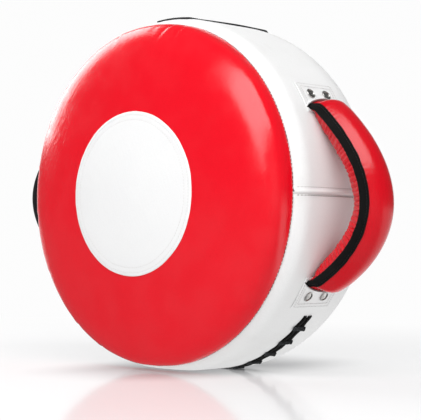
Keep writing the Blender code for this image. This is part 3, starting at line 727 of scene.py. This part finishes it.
# Folds round the rim of the face: angle, distance from the seam, width, reach, depth and lean
FACE_FOLDS = [
    (8.7, 0.023, 0.0026, 0.014, 0.0011, -0.32), (14.4, 0.023, 0.0022, 0.010, 0.0008, 0.15),
    (3.5, 0.020, 0.0030, 0.012, 0.0004, -0.20), (344.0, 0.022, 0.0034, 0.015, 0.0005, -0.25),
    (331.0, 0.018, 0.0040, 0.014, 0.0005, 0.10), (314.0, 0.020, 0.0040, 0.016, 0.0006, -0.15),
    (296.0, 0.024, 0.0036, 0.018, 0.0005, 0.12), (279.0, 0.026, 0.0036, 0.018, 0.0004, -0.10),
    (262.0, 0.024, 0.0040, 0.018, 0.0005, 0.20), (240.0, 0.020, 0.0040, 0.016, 0.0005, -0.10),
    (216.0, 0.018, 0.0034, 0.014, 0.0006, 0.25), (203.0, 0.018, 0.0030, 0.012, 0.0005, -0.20),
    (176.0, 0.016, 0.0030, 0.012, 0.0004, 0.10), (150.0, 0.016, 0.0034, 0.012, 0.0003, -0.12),
    (118.0, 0.018, 0.0036, 0.012, 0.0003, 0.10), (48.0, 0.016, 0.0030, 0.010, 0.0002, 0.10)]


def settle_face():
    """The face's surface as a fine grid, after the leather has taken its shape over the foam."""
    rows, columns = 37, 200
    place, radius, length = face_profile(rows)
    angle = np.arange(columns) * 360 / columns
    grid = on_drum(place[:, None], radius[:, None], angle[None, :])
    held = np.zeros((rows, columns), bool)
    held[-1] = True
    settled = swell(grid, True, held, pressure=2.5, slack=0.012, cap=0.0022)
    fine = halved(halved(settled, 0), 1, True)
    angle = np.arange(columns * 2) * 180 / columns
    away = np.linspace(length, 0, len(fine))
    return fine, away, angle


def face_folds(far, angle):
    """Short folds in the leather, each a groove with a raised lip beside it."""
    total = 0.0
    for across, along, width, reach, depth, lean in FACE_FOLDS:
        turned = (angle - across + 180) % 360 - 180
        beside = (np.radians(turned) * SEAM_RADIUS - lean * (far - along)) / width
        total = total + depth * bell(far - along, reach) * (0.7 * bell(beside - 1.8, 1.0) - bell(beside, 1.0))
    return total


def build_front_cover(fine, away, angle):
    """The struck face, drawn in at its seam, with puckers and folds round its rim."""
    seam = np.array([0.0, 0.0007, 0.0014, 0.0022, 0.0032, 0.0045])
    kept = np.concatenate([away[away > 0.0060], seam[::-1]])
    far, around = kept[:, None], np.radians(angle[None, :])
    grid = along_rows(fine, np.interp(-far, -away, np.arange(len(away))))
    pull = waves(around, 3, 9, 18, 60) * np.exp(-far / 0.010) * 0.0005
    pull = pull + waves(around + far * 2, 4, 7, 6, 20) * bell(far - 0.016, 0.014) * 0.0005
    relief = -0.0007 * bell(far, 0.0012) + pull + face_folds(far, angle[None, :])
    grid = grid + outward_of(grid, True) * relief[..., None]
    piece = build_sheet("face_leather", grid, LEATHER, RED_LEATHER, around=True)
    ride_with(piece, "shield", "red_leather", "front_cover")


def build_target(fine, away, angle):
    """The white round sewn on the face, its edge slightly uneven, with two rows of stitches."""
    radius = face_profile(len(away))[1]
    around = np.radians(angle)
    edge = TARGET_RADIUS + 0.0005 * waves(around, 8, 8, 3, 16)
    inside = np.array([0.095, 0.0925, 0.086, 0.076, 0.064, 0.052, 0.040, 0.030, 0.022, 0.016, 0.0120, 0.0104,
                       0.0099, 0.0094, 0.0075, 0.0056, 0.0046, 0.0041, 0.0036, 0.0030, 0.0020, 0.0012, 0.0007,
                       0.0003, 0.0])
    far = inside[:, None]
    wanted = np.clip(edge[None, :] - far, 0, None)
    wanted[0] = 0.0
    base = along_rows(fine, np.interp(wanted, radius, np.arange(len(radius))))
    outward = outward_of(base, True)
    outward[0] = (0.0, -1.0, 0.0)
    rows = bell(far - TARGET_ROWS[0], 0.0009) + bell(far - TARGET_ROWS[1], 0.0009)
    height = 0.0004 + TARGET * (1 - np.exp(-far / 0.0008)) - 0.00015 * rows
    height = height + 0.00025 * waves(around, 12, 8, 20, 50)[None, :] * np.exp(-far / 0.004)
    grid = base + outward * height[..., None]
    piece = build_sheet("target_round", grid, 0.0011, TARGET_LEATHER, around=True)
    ride_with(piece, "shield", "white_leather", "target_patch")
    lines = []
    for depth in TARGET_ROWS:
        row = int(np.argmin(np.abs(inside - depth)))
        line = grid[row] + outward[row] * 0.00012
        lines.append((np.concatenate([line, line[:1]]), np.concatenate([outward[row], outward[row][:1]])))
    sew_drum("target_stitches", lines, SEAM_THREAD, pitch=0.0034, length=0.0023, thread=0.00045)


# Band and back

def band_relief(place, angle):
    """What the sewing does to the band's level: its seams, its joins at 3 and 9 o'clock, and its puckers."""
    around = np.radians(angle)
    climb = climb_and_side(angle)[0]
    to_rear = BAND_WIDTH - place
    ridge = 0.0020 * np.exp(-(np.abs(climb - 0.80) / 0.55) ** 3) * (climb >= 0.0)
    groove = -0.0005 * bell(climb + 0.12, 0.16)
    seams = ridge + groove - 0.0005 * bell(place, 0.0012) - 0.0014 * bell(to_rear, 0.0022)
    puckers = waves(around, 21, 9, 20, 64) * np.exp(-place / 0.009) * 0.00045
    puckers = puckers + waves(around, 22, 9, 20, 64) * np.exp(-to_rear / 0.010) * 0.0005
    fullness = waves(around, 23, 5, 3, 11) * 0.0004 * np.sin(np.pi * np.clip(place / BAND_WIDTH, 0, 1))
    return seams + puckers + fullness


def slit_cells(places, angles):
    """Which cells of a sheet on the band lie in a strap's slit, and the middles of all its cells."""
    middle = ((places[:-1] + places[1:]) / 2)[:, None]
    turn = ((angles[:-1] + angles[1:]) / 2)[None, :]
    climb, side = climb_and_side(turn)
    in_slit = (np.abs(np.abs(climb) - (SLIT_ANGLE - 0.1)) < 0.09) & (mouth_share(middle, side) > 0)
    return in_slit, middle, turn


def build_band_half(name, start, end, node):
    places = between_lines(0.0002, BAND_WIDTH - 0.0002, 0.0036, 0.0010, 0.0020, 0.0032, 0.039, 0.043, 0.0745,
                           0.0855, 0.097, 0.101, BAND_WIDTH - 0.0010, BAND_WIDTH - 0.0020, BAND_WIDTH - 0.0034)
    close_by = (0.08, 0.2, 0.35, 0.5, 0.7, 0.95, 1.3, 1.8)
    joins = [edge + sign * offset for edge in (-90, 90, 270) for offset in close_by for sign in (-1, 1)]
    slits = [quarter + turn for quarter in (-90, 90, 270)
             for turn in (-SLIT_ANGLE, -SLIT_ANGLE + 0.2, SLIT_ANGLE, SLIT_ANGLE - 0.2)]
    half = CLOSURE_HALF_ANGLE - CLOSURE_MARGIN
    inside = [line for line in [*joins, *slits, 180 - half, 180 + half] if start < line < end]
    angles = between_lines(start + 0.02, end - 0.02, 1.2, *inside)
    place, angle = places[:, None], angles[None, :]
    grid = on_drum(place, band_radius(place) + band_relief(place, angle), angle)
    open_cells, middle, turn = slit_cells(places, angles)
    open_cells |= (np.abs(middle - CLOSURE_LINE) < 0.0055) & (np.abs(turn - 180) < half)
    piece = build_sheet(name, grid, LEATHER, WHITE_LEATHER, open_cells=open_cells)
    ride_with(piece, "shield", "white_leather", node)


def build_back_panel():
    radii = np.concatenate([np.linspace(0, 0.165, 24), [0.1675, 0.1695, 0.1712, 0.1722, 0.1727]])
    angle = np.arange(240) * 1.5
    around = np.radians(angle)[None, :]
    share = np.clip((radii - BACK_FLAT) / (BACK_SEAM_RADIUS - BACK_FLAT), 0, 1)
    place = BAND_WIDTH + BACK_RISE * np.sqrt(1 - share ** 2)
    far = BACK_SEAM_RADIUS - radii[:, None]
    relief = (-0.0012 * bell(far, 0.0022) + 0.0006 * waves(around, 31, 9, 20, 60) * np.exp(-far / 0.010)
              - 0.0006 * bell(far - 0.055, 0.030) * (1 + waves(around, 32, 4, 2, 6)))
    grid = on_drum(place[:, None] + relief, radii[:, None], angle[None, :])[::-1]
    piece = build_sheet("back_leather", grid, LEATHER, WHITE_LEATHER, around=True)
    ride_with(piece, "shield", "white_leather", "back_cover")


def sew_drum_seams():
    angle = np.linspace(0, 360, 721)
    front = on_drum(-0.0003, SEAM_RADIUS + 0.0001, angle)
    outward = unit(front - np.array([0.0, front[0, 1], AXIS_HEIGHT]))
    sew_drum("front_seam_stitches", [(front, outward)], PALE_THREAD, 1.1,
             pitch=0.0046, length=0.0030, thread=0.0013)
    rear = on_drum(BAND_WIDTH + 0.0008, BACK_SEAM_RADIUS - 0.0004, angle)
    back = np.tile([0.0, 1.0, 0.0], (len(angle), 1))
    sew_drum("back_seam_stitches", [(rear, back)], GREY_THREAD, 0.9,
             pitch=0.0045, length=0.0030, thread=0.0010)
    places = np.linspace(0.004, 0.150, 60)
    dark, faint = ([drum_line(places, quarter * turn, 0.0002) for quarter in (-1, 1)] for turn in (90.45, 87.9))
    sew_drum("band_join_stitches", dark, DARK_THREAD, pitch=0.0042, length=0.0024, thread=0.0011)
    sew_drum("band_topstitches", faint, DARK_THREAD, pitch=0.0042, length=0.0018, thread=0.0007)


# Patches and rivets at the straps' roots

def turn_to(side, level, climb):
    """The angle clockwise from the top, as far above or below the drum's level as climb says."""
    return 90 * side - side * level * climb


def build_patch(name, side, level, node):
    start, end = sorted(turn_to(side, level, climb) for climb in (PATCH_INNER_ANGLE, PATCH_OUTER_ANGLE))
    lips = [turn_to(side, level, climb) for climb in (SLIT_ANGLE, SLIT_ANGLE - 0.2)]
    front, rear = STRAP_LINE - PATCH_HALF_WIDTH, STRAP_LINE + PATCH_HALF_WIDTH
    places = between_lines(front, rear, 0.0020, front + 0.0005, rear - 0.0005)
    angles = between_lines(start, end, 0.45, start + 0.12, end - 0.12, *lips)
    place, angle = places[:, None], angles[None, :]
    rim = np.minimum(PATCH_HALF_WIDTH - np.abs(place - STRAP_LINE),
                     np.radians(np.minimum(angle - start, end - angle)) * BAND_RADIUS)
    rows = bell(rim - PATCH_ROWS[0], 0.0006) + bell(rim - PATCH_ROWS[1], 0.0006)
    height = 0.0004 + PATCH * np.sqrt(np.clip(rim / 0.0008, 0.02, 1)) - 0.0002 * rows
    height = height + 0.0003 * waves(place * 200 + angle, int(40 + 2 * side + level), 5, 0.6, 2.0)
    grid = on_drum(place, band_radius(place) + height, angle)
    piece = build_sheet(name, grid, 0.0012, PATCH_LEATHER, open_cells=slit_cells(places, angles)[0])
    ride_with(piece, "shield", "patch_leather", node)
    return patch_rows(side, level, start, end)


def patch_rows(side, level, start, end):
    """Two rows of stitches round a patch, open where the strap comes out."""
    lines = []
    reach = np.linspace(0, 1, 20)
    for depth in PATCH_ROWS:
        turn = math.degrees(depth / BAND_RADIUS)
        inner, outer = start + turn, end - turn
        if level * side > 0:
            inner, outer = outer, inner
        low, high = STRAP_LINE - PATCH_HALF_WIDTH + depth, STRAP_LINE + PATCH_HALF_WIDTH - depth
        across = low + (high - low) * reach
        edge_row = depth == PATCH_ROWS[0]
        lip = inner if edge_row else turn_to(side, level, SLIT_ANGLE + 2.0)
        places = np.concatenate([np.full(20, low), across, np.full(20, high)])
        angles = np.concatenate([lip + (outer - lip) * reach, np.full(20, outer),
                                 outer + (lip - outer) * reach])
        lines.append(drum_line(places, angles, 0.0021))
        if edge_row:
            lines.append(drum_line(across, np.full(20, inner), 0.0021))
    return lines


def build_patches():
    lines = []
    for strap, side, word, level in ROOTS:
        lines += build_patch(f"{strap}_patch_leather_{word}", side, level, f"{strap}_patch_{word}")
    sew_drum("patch_stitches", lines, GREY_THREAD, pitch=0.0027, length=0.0018, thread=0.00055)


def build_rivets():
    lines, nodes = [], []
    for strap, side, word, level in ROOTS:
        for end, across in (("front", -0.5), ("rear", 0.5)):
            place = STRAP_LINE + across * RIVET_SPACING
            lines.append(drum_line([place], [turn_to(side, level, RIVET_ANGLE)], 0.0017))
            nodes.append(f"rivet_{strap}_{word}_{end}")
    piece = grown("rivet_caps", RIVET_CAPS, lines, Radius=RIVET_RADIUS, Height=0.0010, Look=PLATED_METAL)
    ride_with(piece, "shield", "rivet_metal", *nodes)


# Straps

def strap_path(root, apex, droop, mouth, count):
    """The strap's middle line in the drum's plane, from inside the upper mouth to inside the lower one.

    With it come its outward directions, its angle in the arch, 90 at the mouths, and its length so far.
    """
    turn = np.radians(np.linspace(84, -84, 241))
    fullness = np.cos(turn) ** 2
    arch = np.stack([root + (apex - root) * fullness, SLIT_HEIGHT * np.sin(turn) - droop * fullness], 1)
    steps = np.linspace(0, 1, 12)[:-1, None]
    upper = np.array([mouth, SLIT_HEIGHT]) * (1 - steps) + np.array([root - 0.001, SLIT_HEIGHT]) * steps
    line = np.concatenate([upper, arch, (upper * [1, -1])[::-1]])
    angle = np.concatenate([np.full(len(upper), 90.0), np.degrees(turn), np.full(len(upper), -90.0)])
    length = run_of(np.linalg.norm(np.diff(line, axis=0), axis=1))
    even = np.linspace(0, length[-1], count)
    line = np.stack([np.interp(even, length, line[:, axis]) for axis in (0, 1)], 1)
    for _ in range(3):
        line[1:-1] = (line[:-2] + 2 * line[1:-1] + line[2:]) / 4
    tangent = unit(np.gradient(line, axis=0))
    return line, np.stack([-tangent[:, 1], tangent[:, 0]], 1), np.interp(even, length, angle), even


def on_strap(side, line, outward, across, height):
    """Points over a strap. across runs from its middle towards the back, height along its outward direction."""
    across, height = np.broadcast_arrays(across, height)
    flat = line[None, :, :] + outward[None, :, :] * height[..., None]
    return np.stack([side * flat[..., 0], STRAP_DEPTH + across, AXIS_HEIGHT + flat[..., 1]], -1)


def pad_height(share, angle, out):
    """The padding's height over the strap's middle line, full in the middle of the arch and of its width."""
    stations = [0, 40, 60, 74, 82, 90]
    crown = [0.0190, 0.0188, 0.0182, 0.0166, 0.0136, 0.0094]
    if not out:
        crown = [0.0178, 0.0172, 0.0150, 0.0100, 0.0068, 0.0050]
    return np.interp(np.abs(angle), stations, crown) * (1 - np.abs(share) ** (2.1 if out else 7.0))


STRAP_DEPTH = STRAP_LINE - REST_POINT
ARM_PATH = strap_path(ARM_ROOT, ARM_APEX, ARM_DROOP, 0.1775, 116)
GRIP_PATH = strap_path(GRIP_ROOT, GRIP_APEX, 0.0, 0.1780, 110)
PAD_SHARES = np.sin(np.radians(np.linspace(-90, 90, 27))) * 0.995


def build_pad_panel(name, out, *nodes):
    """The cover or the lining of the padded strap, gathered where the binding holds it."""
    line, outward, angle, length = ARM_PATH
    share = PAD_SHARES[:, None]
    sign = 1 if out else -1
    grid = on_strap(1, line, outward, share * PAD_HALF_WIDTH, sign * pad_height(share, angle[None, :], out))
    held = np.zeros(grid.shape[:2], bool)
    held |= (1 - np.abs(share)) * PAD_HALF_WIDTH < (0.0078 if out else 0.0012)
    held[:, :6] = held[:, -6:] = True
    grid = swell(grid[::sign], False, held, pressure=3.0, slack=0.0 if out else 0.02, cap=0.0012)[::sign]
    grid = halved(halved(grid, 0), 1)
    length = halved(length, 0)[None, :]
    edge = (1 - np.abs(halved(PAD_SHARES, 0)[:, None])) * PAD_HALF_WIDTH
    gather = waves(length / 0.0044 * 2 * math.pi, 51 + out, 5, 0.45, 1.15)
    depth = 0.00016 * bell(edge - 0.0065, 0.003)
    if not out:
        tuck = math.pi * length / 0.0062 + 1.6 * waves(length, 57, 4, 60, 260) + 14 * edge
        gather, depth = np.abs(np.sin(tuck)) - 0.6, 0.0021 * np.exp(-edge / 0.0070)
    grid = (grid + sign * outward_of(grid) * (gather * depth)[..., None])[::sign]
    piece = build_sheet(name, grid, 0.0012, STRAP_LEATHER_PAINTED_DARK)
    hang_between(piece, "arm_strap", 1, "red_leather", *nodes)


def hang_between(piece, body, side, slot, *nodes):
    """Hides the CAD nodes that the piece stands for and bakes its place into its mesh."""
    if nodes:
        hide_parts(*nodes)
    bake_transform(piece)


def build_binding(name, edge, node):
    """Folded tape round an edge of the pad, its outer leg on the shoulder of the cover."""
    line, outward, angle, length = ARM_PATH
    leg = np.array([0.0053, 0.0052, 0.0048, 0.0044, 0.0040, 0.0036, 0.0031, 0.0021, 0.0011, 0.0002])
    uneven = 0.0006 * waves(length, 60 + edge, 6, 150, 520)
    leg = leg[:, None] * (1.06 + uneven * 120 + 0.24 * np.abs(angle / 90) ** 2)
    height = pad_height(1 - leg / PAD_HALF_WIDTH, angle[None, :], True)
    shoulder = on_strap(1, line, outward, leg - PAD_HALF_WIDTH, height)
    relief = np.array([0.0002, 0.0010, 0.0012, 0.0011, 0.0009, 0.0004, 0.0009, 0.0012, 0.0012, 0.0011])
    shoulder = shoulder - outward_of(shoulder) * relief[:, None, None]
    fold = np.array([[0.0009, 0.0006], [0.0012, -0.0002], [0.0010, -0.0009], [0.0005, -0.0016],
                     [-0.0001, -0.0021]])
    under = on_strap(1, line, outward, -(PAD_HALF_WIDTH + fold[:, :1] + uneven[None, :]), fold[:, 1:])
    grid = np.concatenate([shoulder, under])[::-1]
    if edge > 0:
        grid[..., 1] = 2 * STRAP_DEPTH - grid[..., 1]
        grid = grid[::-1]
    across = run_of(np.linalg.norm(np.diff(grid[:, len(angle) // 2], axis=0), axis=1))
    lay = pairs_of(across[:, None], length[None, :])
    grid = halved(grid, 1)
    piece = build_sheet(name, grid, 0.0008, BINDING_TAPE, lay=halved(lay, 1))
    hang_between(piece, "arm_strap", 1, "binding_tape", node)
    row = len(fold) + 4 if edge < 0 else 5
    outwards = outward_of(grid)[row]
    line = (grid[row] + outwards * 0.0002, outwards)
    stitches = stitched(name + "_stitches", [line], BLACK_THREAD,
                        pitch=0.0034, length=0.0026, thread=0.0007)
    hang_between(stitches, "arm_strap", 1, "lace")


def build_arm_strap():
    build_pad_panel("arm_strap_leather", True, "arm_strap_cover", "arm_strap_foam")
    build_pad_panel("arm_strap_lining_leather", False, "arm_strap_lining", "arm_strap_inner_foam")
    for word, edge in (("front", -1), ("rear", 1)):
        build_binding(f"arm_strap_tape_{word}", edge, f"arm_strap_binding_{word}")


def build_grip():
    """Plain webbing with thick selvages."""
    line, outward, _, length = GRIP_PATH
    across = np.linspace(-1, 1, 17)[:, None]
    half = GRIP_WIDTH / 2
    height = GRIP_THICKNESS / 2 + 0.0002 * bell(1 - np.abs(across), 0.06)
    height = height + 0.0003 * waves(length[None, :], 71, 4, 30, 90) * np.abs(across)
    grid = on_strap(-1, line, outward, across * half, height)[::-1]
    lay = pairs_of((across * half)[::-1] + half, length[None, :])
    piece = build_sheet("grip_strap", halved(grid, 1), GRIP_THICKNESS, WEBBING, lay=halved(lay, 1))
    hang_between(piece, "hand_grip", -1, "webbing", "grip_webbing")


# Handle and closure

def build_top_handle():
    """Flat webbing along the crown and over the back shoulder, its ends sewn down."""
    lift, thickness, bend = 0.0003, 0.0015, 0.008
    level = BAND_RADIUS + lift + thickness
    rear = BAND_WIDTH + lift + thickness
    turn = np.radians(np.linspace(0, 90, 9))
    front = np.linspace(0.0135, 0.098, 26)
    places = np.concatenate([front, np.linspace(0.102, rear - bend - 0.002, 14),
                             rear - bend + bend * np.sin(turn), np.full(5, rear)])
    radii = np.concatenate([band_radius(front) + lift + thickness, np.full(14, level),
                            level - bend * (1 - np.cos(turn)), np.linspace(level - bend - 0.004, 0.1770, 5)])
    free = np.clip((places - 0.040) / (rear - bend - 0.040), 0, 1)
    radii = radii + HANDLE_BOW * np.sin(np.pi * free) ** 0.7
    length = run_of(np.hypot(np.diff(places), np.diff(radii)))[:, None]
    across = np.linspace(-1, 1, 17)[None, :]
    spread = math.degrees(HANDLE_WIDTH / 2 / BAND_RADIUS)
    ripple = 0.0002 * waves(length, 81, 4, 40, 120) * np.abs(across)
    grid = on_drum(places[:, None], radii[:, None] + ripple, across * spread)
    lay = pairs_of(across * HANDLE_WIDTH / 2 + HANDLE_WIDTH / 2, length)
    piece = build_sheet("top_strap", grid, thickness, WEBBING, lay=lay)
    ride_with(piece, "shield", "webbing", "top_handle")
    over = lift + thickness + 0.0001
    reach = np.linspace(-0.92, 0.92, 20) * spread
    lines = [drum_line(place, reach, over) for place in (0.0165, 0.0215, 0.0700, 0.0750)]
    side = np.linspace(0.0165, 0.0750, 30)
    lines += [drum_line(side, edge * spread, over) for edge in (-0.92, 0.92)]
    sew_drum("top_strap_stitches", lines, BLACK_THREAD, pitch=0.0031, length=0.0022, thread=0.0007)


def closure_grid(across, angles, lift):
    """A strip along the closure: across and lift are given for each of its rows."""
    place = CLOSURE_LINE + np.asarray(across)
    return on_drum(place, band_radius(place) + lift, angles)


def build_closure():
    """Two taped edges drawn together over a tongue, with the lace crossing them in small knots."""
    angles = np.arange(180 - CLOSURE_HALF_ANGLE, 180 + CLOSURE_HALF_ANGLE + 0.01, 0.5)
    length = np.radians(angles - angles[0])[None, :] * BAND_RADIUS
    whole = length[0, -1]
    from_end = np.minimum(length, whole - length)
    part = 0.0016 * np.exp(-from_end / 0.005)
    taper = 1 - 0.38 * np.exp(-from_end / 0.010)
    drawn = np.cos(2 * math.pi * (length - whole / 2) / LACE_PITCH)
    across = np.array([0.0001, 0.0005, 0.0016, 0.0034, 0.0052, 0.0068, 0.0079, 0.0084])[:, None]
    lift = np.array([-0.0020, 0.0004, 0.0013, 0.0016, 0.0017, 0.0014, 0.0007, -0.0006])[:, None]
    for word, edge, seed in (("front", -1, 91), ("rear", 1, 92)):
        uneven = waves(length, seed, 6, 120, 480) * 0.0011 * (across / 0.0084)
        wide = across * taper * (1 + 0.10 * drawn) + part + uneven
        grid = closure_grid(edge * wide, angles[None, :], lift + uneven * 0.4 - 0.0003 * drawn)
        lay = pairs_of(across, length)
        piece = build_sheet(f"closure_tape_{word}", grid[::edge], 0.0012, BINDING_TAPE, lay=lay[::edge])
        ride_with(piece, "shield", "binding_tape")
    across = np.linspace(-0.0070, 0.0070, 5)[:, None]
    tongue = closure_grid(across, angles[None, :], -0.0036)
    piece = build_sheet("closure_tongue_cloth", tongue, 0.0010, WEBBING, lay=pairs_of(across, length))
    ride_with(piece, "shield", "webbing", "closure_tongue")
    build_lace(angles[0], whole)


def build_lace(first_angle, whole):
    """The lace: a flat bar over the taped edges at each pitch, tied in a small knot at both sides."""
    points, faces, lay = [], [], []
    bars = int((whole - 0.012) / LACE_PITCH)
    chance = np.random.default_rng(7)
    turn = np.linspace(0, 2 * math.pi, 33)
    knot = np.linspace(0, 2 * math.pi, 21)
    for bar in range(-(bars // 2), bars // 2 + 1):
        centre = whole / 2 + bar * LACE_PITCH
        lean = chance.uniform(-0.0020, 0.0020)
        across = (0.0082 + chance.uniform(-0.0004, 0.0004)) * np.cos(turn)
        along = centre + 0.0019 * np.sin(turn) + lean * np.cos(turn)
        lift = 0.0024 + 0.0006 * np.cos(2 * turn) - 0.0016 * np.abs(np.cos(turn)) ** 8
        add_loop(points, faces, lay, across, along, lift, first_angle)
        for edge in (-1, 1):
            across = edge * (0.0083 + 0.0013 * np.cos(knot) + chance.uniform(-0.0004, 0.0008))
            along = centre + lean * edge + 0.0021 * np.sin(knot)
            add_loop(points, faces, lay, across, along, 0.0021 + 0.0007 * np.sin(knot * 2), first_angle)
    piece = build_mesh("closure_lacing", np.concatenate(points), faces, LACE_CORD, np.concatenate(lay))
    ride_with(piece, "shield", "lace", "closure_lace")


def add_loop(points, faces, lay, across, along, lift, first_angle):
    """A closed loop of lace over the closure, as one tube."""
    centre = closure_grid(across[:-1], first_angle + np.degrees(along[:-1] / BAND_RADIUS), lift[:-1])
    tangent = unit(np.roll(centre, -1, 0) - np.roll(centre, 1, 0))
    outward = centre - np.array([0.0, 0.0, AXIS_HEIGHT])
    outward[:, 1] = 0.0
    outward = unit(outward)
    beside = np.cross(tangent, outward)
    sides, count = 8, len(centre)
    start = sum(len(some) for some in points)
    turn = np.arange(sides) * 2 * math.pi / sides
    ring = (centre[:, None, :] + LACE_RADIUS * (outward[:, None, :] * np.cos(turn)[None, :, None]
                                                + beside[:, None, :] * np.sin(turn)[None, :, None]))
    ring[..., 2] = np.maximum(ring[..., 2], 0.0001)
    points.append(ring.reshape(-1, 3))
    lay.append(pairs_of((turn * LACE_RADIUS)[None, :], along[:-1][:, None]).reshape(-1, 2))
    for step in range(count):
        here, after = start + step * sides, start + (step + 1) % count * sides
        for corner in range(sides):
            beyond = (corner + 1) % sides
            faces.append((here + corner, after + corner, after + beyond, here + beyond))


def dress_hidden_nodes():
    """The CAD nodes that stay: foam, board, burrs and the webbing inside the straps."""
    looks = {"face_foam": SOFT_FOAM, "core_foam": SOFT_FOAM, "shock_board": FIRM_FOAM, "back_foam": FIRM_FOAM,
             "arm_strap_webbing": WEBBING}
    for name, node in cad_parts.items():
        look = looks.get(name)
        if name.startswith("burr_"):
            look = PLATED_METAL
        if "_anchor_" in name:
            look = WEBBING
        if look:
            node.data.materials.clear()
            node.data.materials.append(look)


# Studio

def make_floor():
    """A white floor that fades into the backdrop, with a painted contact shadow close to the drum. It lights
    the drum evenly.
    """
    work = bmesh.new()
    bmesh.ops.create_grid(work, x_segments=8, y_segments=8, size=4.0)
    mesh = bpy.data.meshes.new("floor")
    work.to_mesh(mesh)
    work.free()
    floor = linked("floor", mesh)
    made, tree, matt = new_material("floor_gloss", 0.9, 0.0)
    place = object_place(tree)
    # Distance from the drum's contact, level inside a small box round it
    beside = vector(tree, "ABSOLUTE", vector(tree, "SUBTRACT", place, (0.0, 0.035, 0.0)))
    beside = vector(tree, "MAXIMUM", vector(tree, "SUBTRACT", beside, (0.03, 0.06, 0.0)))
    beside = vector(tree, "LENGTH", vector(tree, "MULTIPLY", beside, (1.8, 1.0, 0.0)))
    # Painted contact shadow: close to the drum the floor's base colour is darker and its glow falls to nothing
    outside_painted_shadow = graded(tree, beside, 0.0, 0.20)
    feed(tree, matt, {"Base Color": blended(tree, outside_painted_shadow, (0.34, 0.34, 0.35), (0.41, 0.41, 0.415)),
                      "Emission Color": WHITE, "Emission Strength": product(tree, outside_painted_shadow, FLOOR_GLOW)})
    polish = out_of(tree, "ShaderNodeBsdfGlossy", {"Color": WHITE, "Roughness": FLOOR_ROUGHNESS})
    near = out_of(tree, "ShaderNodeMixShader", {0: FLOOR_GLOSS, 1: matt.outputs[0], 2: polish})
    backdrop = out_of(tree, "ShaderNodeEmission", {"Strength": BACKDROP})
    away = graded(tree, vector(tree, "LENGTH", place), 0.35, 1.1)
    seen = out_of(tree, "ShaderNodeMixShader", {0: away, 1: near, 2: backdrop})
    # What the floor throws back: even light, but little to what mirrors it in front of the drum
    ray = add(tree, "ShaderNodeLightPath").outputs
    depth = add(tree, "ShaderNodeSeparateXYZ", {0: place}).outputs[1]
    before = product(tree, ray["Is Glossy Ray"], graded(tree, depth, 0.05, 0.16, 0.92, 0.0))
    steady = arithmetic(tree, "SUBTRACT", FLOOR_RETURN, before)
    thrown = out_of(tree, "ShaderNodeEmission", {"Strength": steady})
    whole = out_of(tree, "ShaderNodeMixShader", {0: ray["Is Camera Ray"], 1: thrown, 2: seen})
    feed(tree, tree.nodes["Material Output"], {"Surface": whole})
    mesh.materials.append(made)
    mesh.transform(Matrix.Translation((0.0, 0.0, -0.0004)))


def softbox(name, place, target, width, height, power, roll=0.0, mirrored=True):
    """A rectangular lamp that faces its target."""
    light = bpy.data.lights.new(name, "AREA")
    light.shape = "RECTANGLE"
    light.size = width
    light.size_y = height
    light.energy = power
    lamp = linked(name, light)
    lamp.visible_glossy = mirrored
    aim = Vector(place) - Vector(target)
    turned = aim.to_track_quat("Z", "Y").to_matrix().to_4x4() @ Matrix.Rotation(math.radians(roll), 4, "Z")
    lamp.matrix_world = Matrix.Translation(place) @ turned


def light_studio():
    """A white backdrop in a dim room, a long slanting softbox above the face, and an upright strip at the left.

    Two soft fills light the back and the band, without being mirrored.
    """
    world = bpy.data.worlds.new("studio")
    world.use_nodes = True
    tree = world.node_tree
    room = tree.nodes["Background"]
    way = add(tree, "ShaderNodeTexCoord").outputs["Generated"]
    facing = vector(tree, "DOT_PRODUCT", way, (-0.676, 0.737, 0.03))
    path = add(tree, "ShaderNodeLightPath").outputs
    dim = graded(tree, path["Is Diffuse Ray"], 0.0, 1.0, ROOM_DIM, ROOM_SOFT)
    feed(tree, room, {"Color": WHITE, "Strength": graded(tree, facing, 0.80, 0.93, dim, 1.0)})
    backdrop = out_of(tree, "ShaderNodeBackground", {"Color": WHITE, "Strength": BACKDROP})
    mixed = out_of(tree, "ShaderNodeMixShader", {0: path["Is Camera Ray"], 1: room.outputs[0], 2: backdrop})
    feed(tree, tree.nodes["World Output"], {"Surface": mixed})
    bpy.context.scene.world = world
    bpy.context.scene.view_settings.view_transform = "Standard"
    softbox("key", (0.69, -1.00, 1.41), (0.05, -0.07, 0.25), 2.36, 1.16, KEY_POWER, roll=31.5)
    softbox("strip", (-1.44, 0.06, 1.06), (0.0, -0.05, 0.25), 0.95, 1.25, STRIP_POWER)
    softbox("fill_above", (0.0, 0.9, 1.6), (0.0, 0.0, 0.3), 1.2, 1.2, FILL_ABOVE_POWER, mirrored=False)
    softbox("fill_right", (1.55, -0.95, 0.40), (0.2, 0.0, 0.2), 1.0, 1.0, FILL_RIGHT_POWER, mirrored=False)


place_camera()
settled_face = settle_face()
build_front_cover(*settled_face)
build_target(*settled_face)
build_band_half("band_leather_upper", -90, 90, "side_band_upper")
build_band_half("band_leather_lower", 90, 270, "side_band_lower")
build_back_panel()
sew_drum_seams()
build_patches()
build_rivets()
build_arm_strap()
build_grip()
build_top_handle()
build_closure()
dress_hidden_nodes()
make_floor()
light_studio()
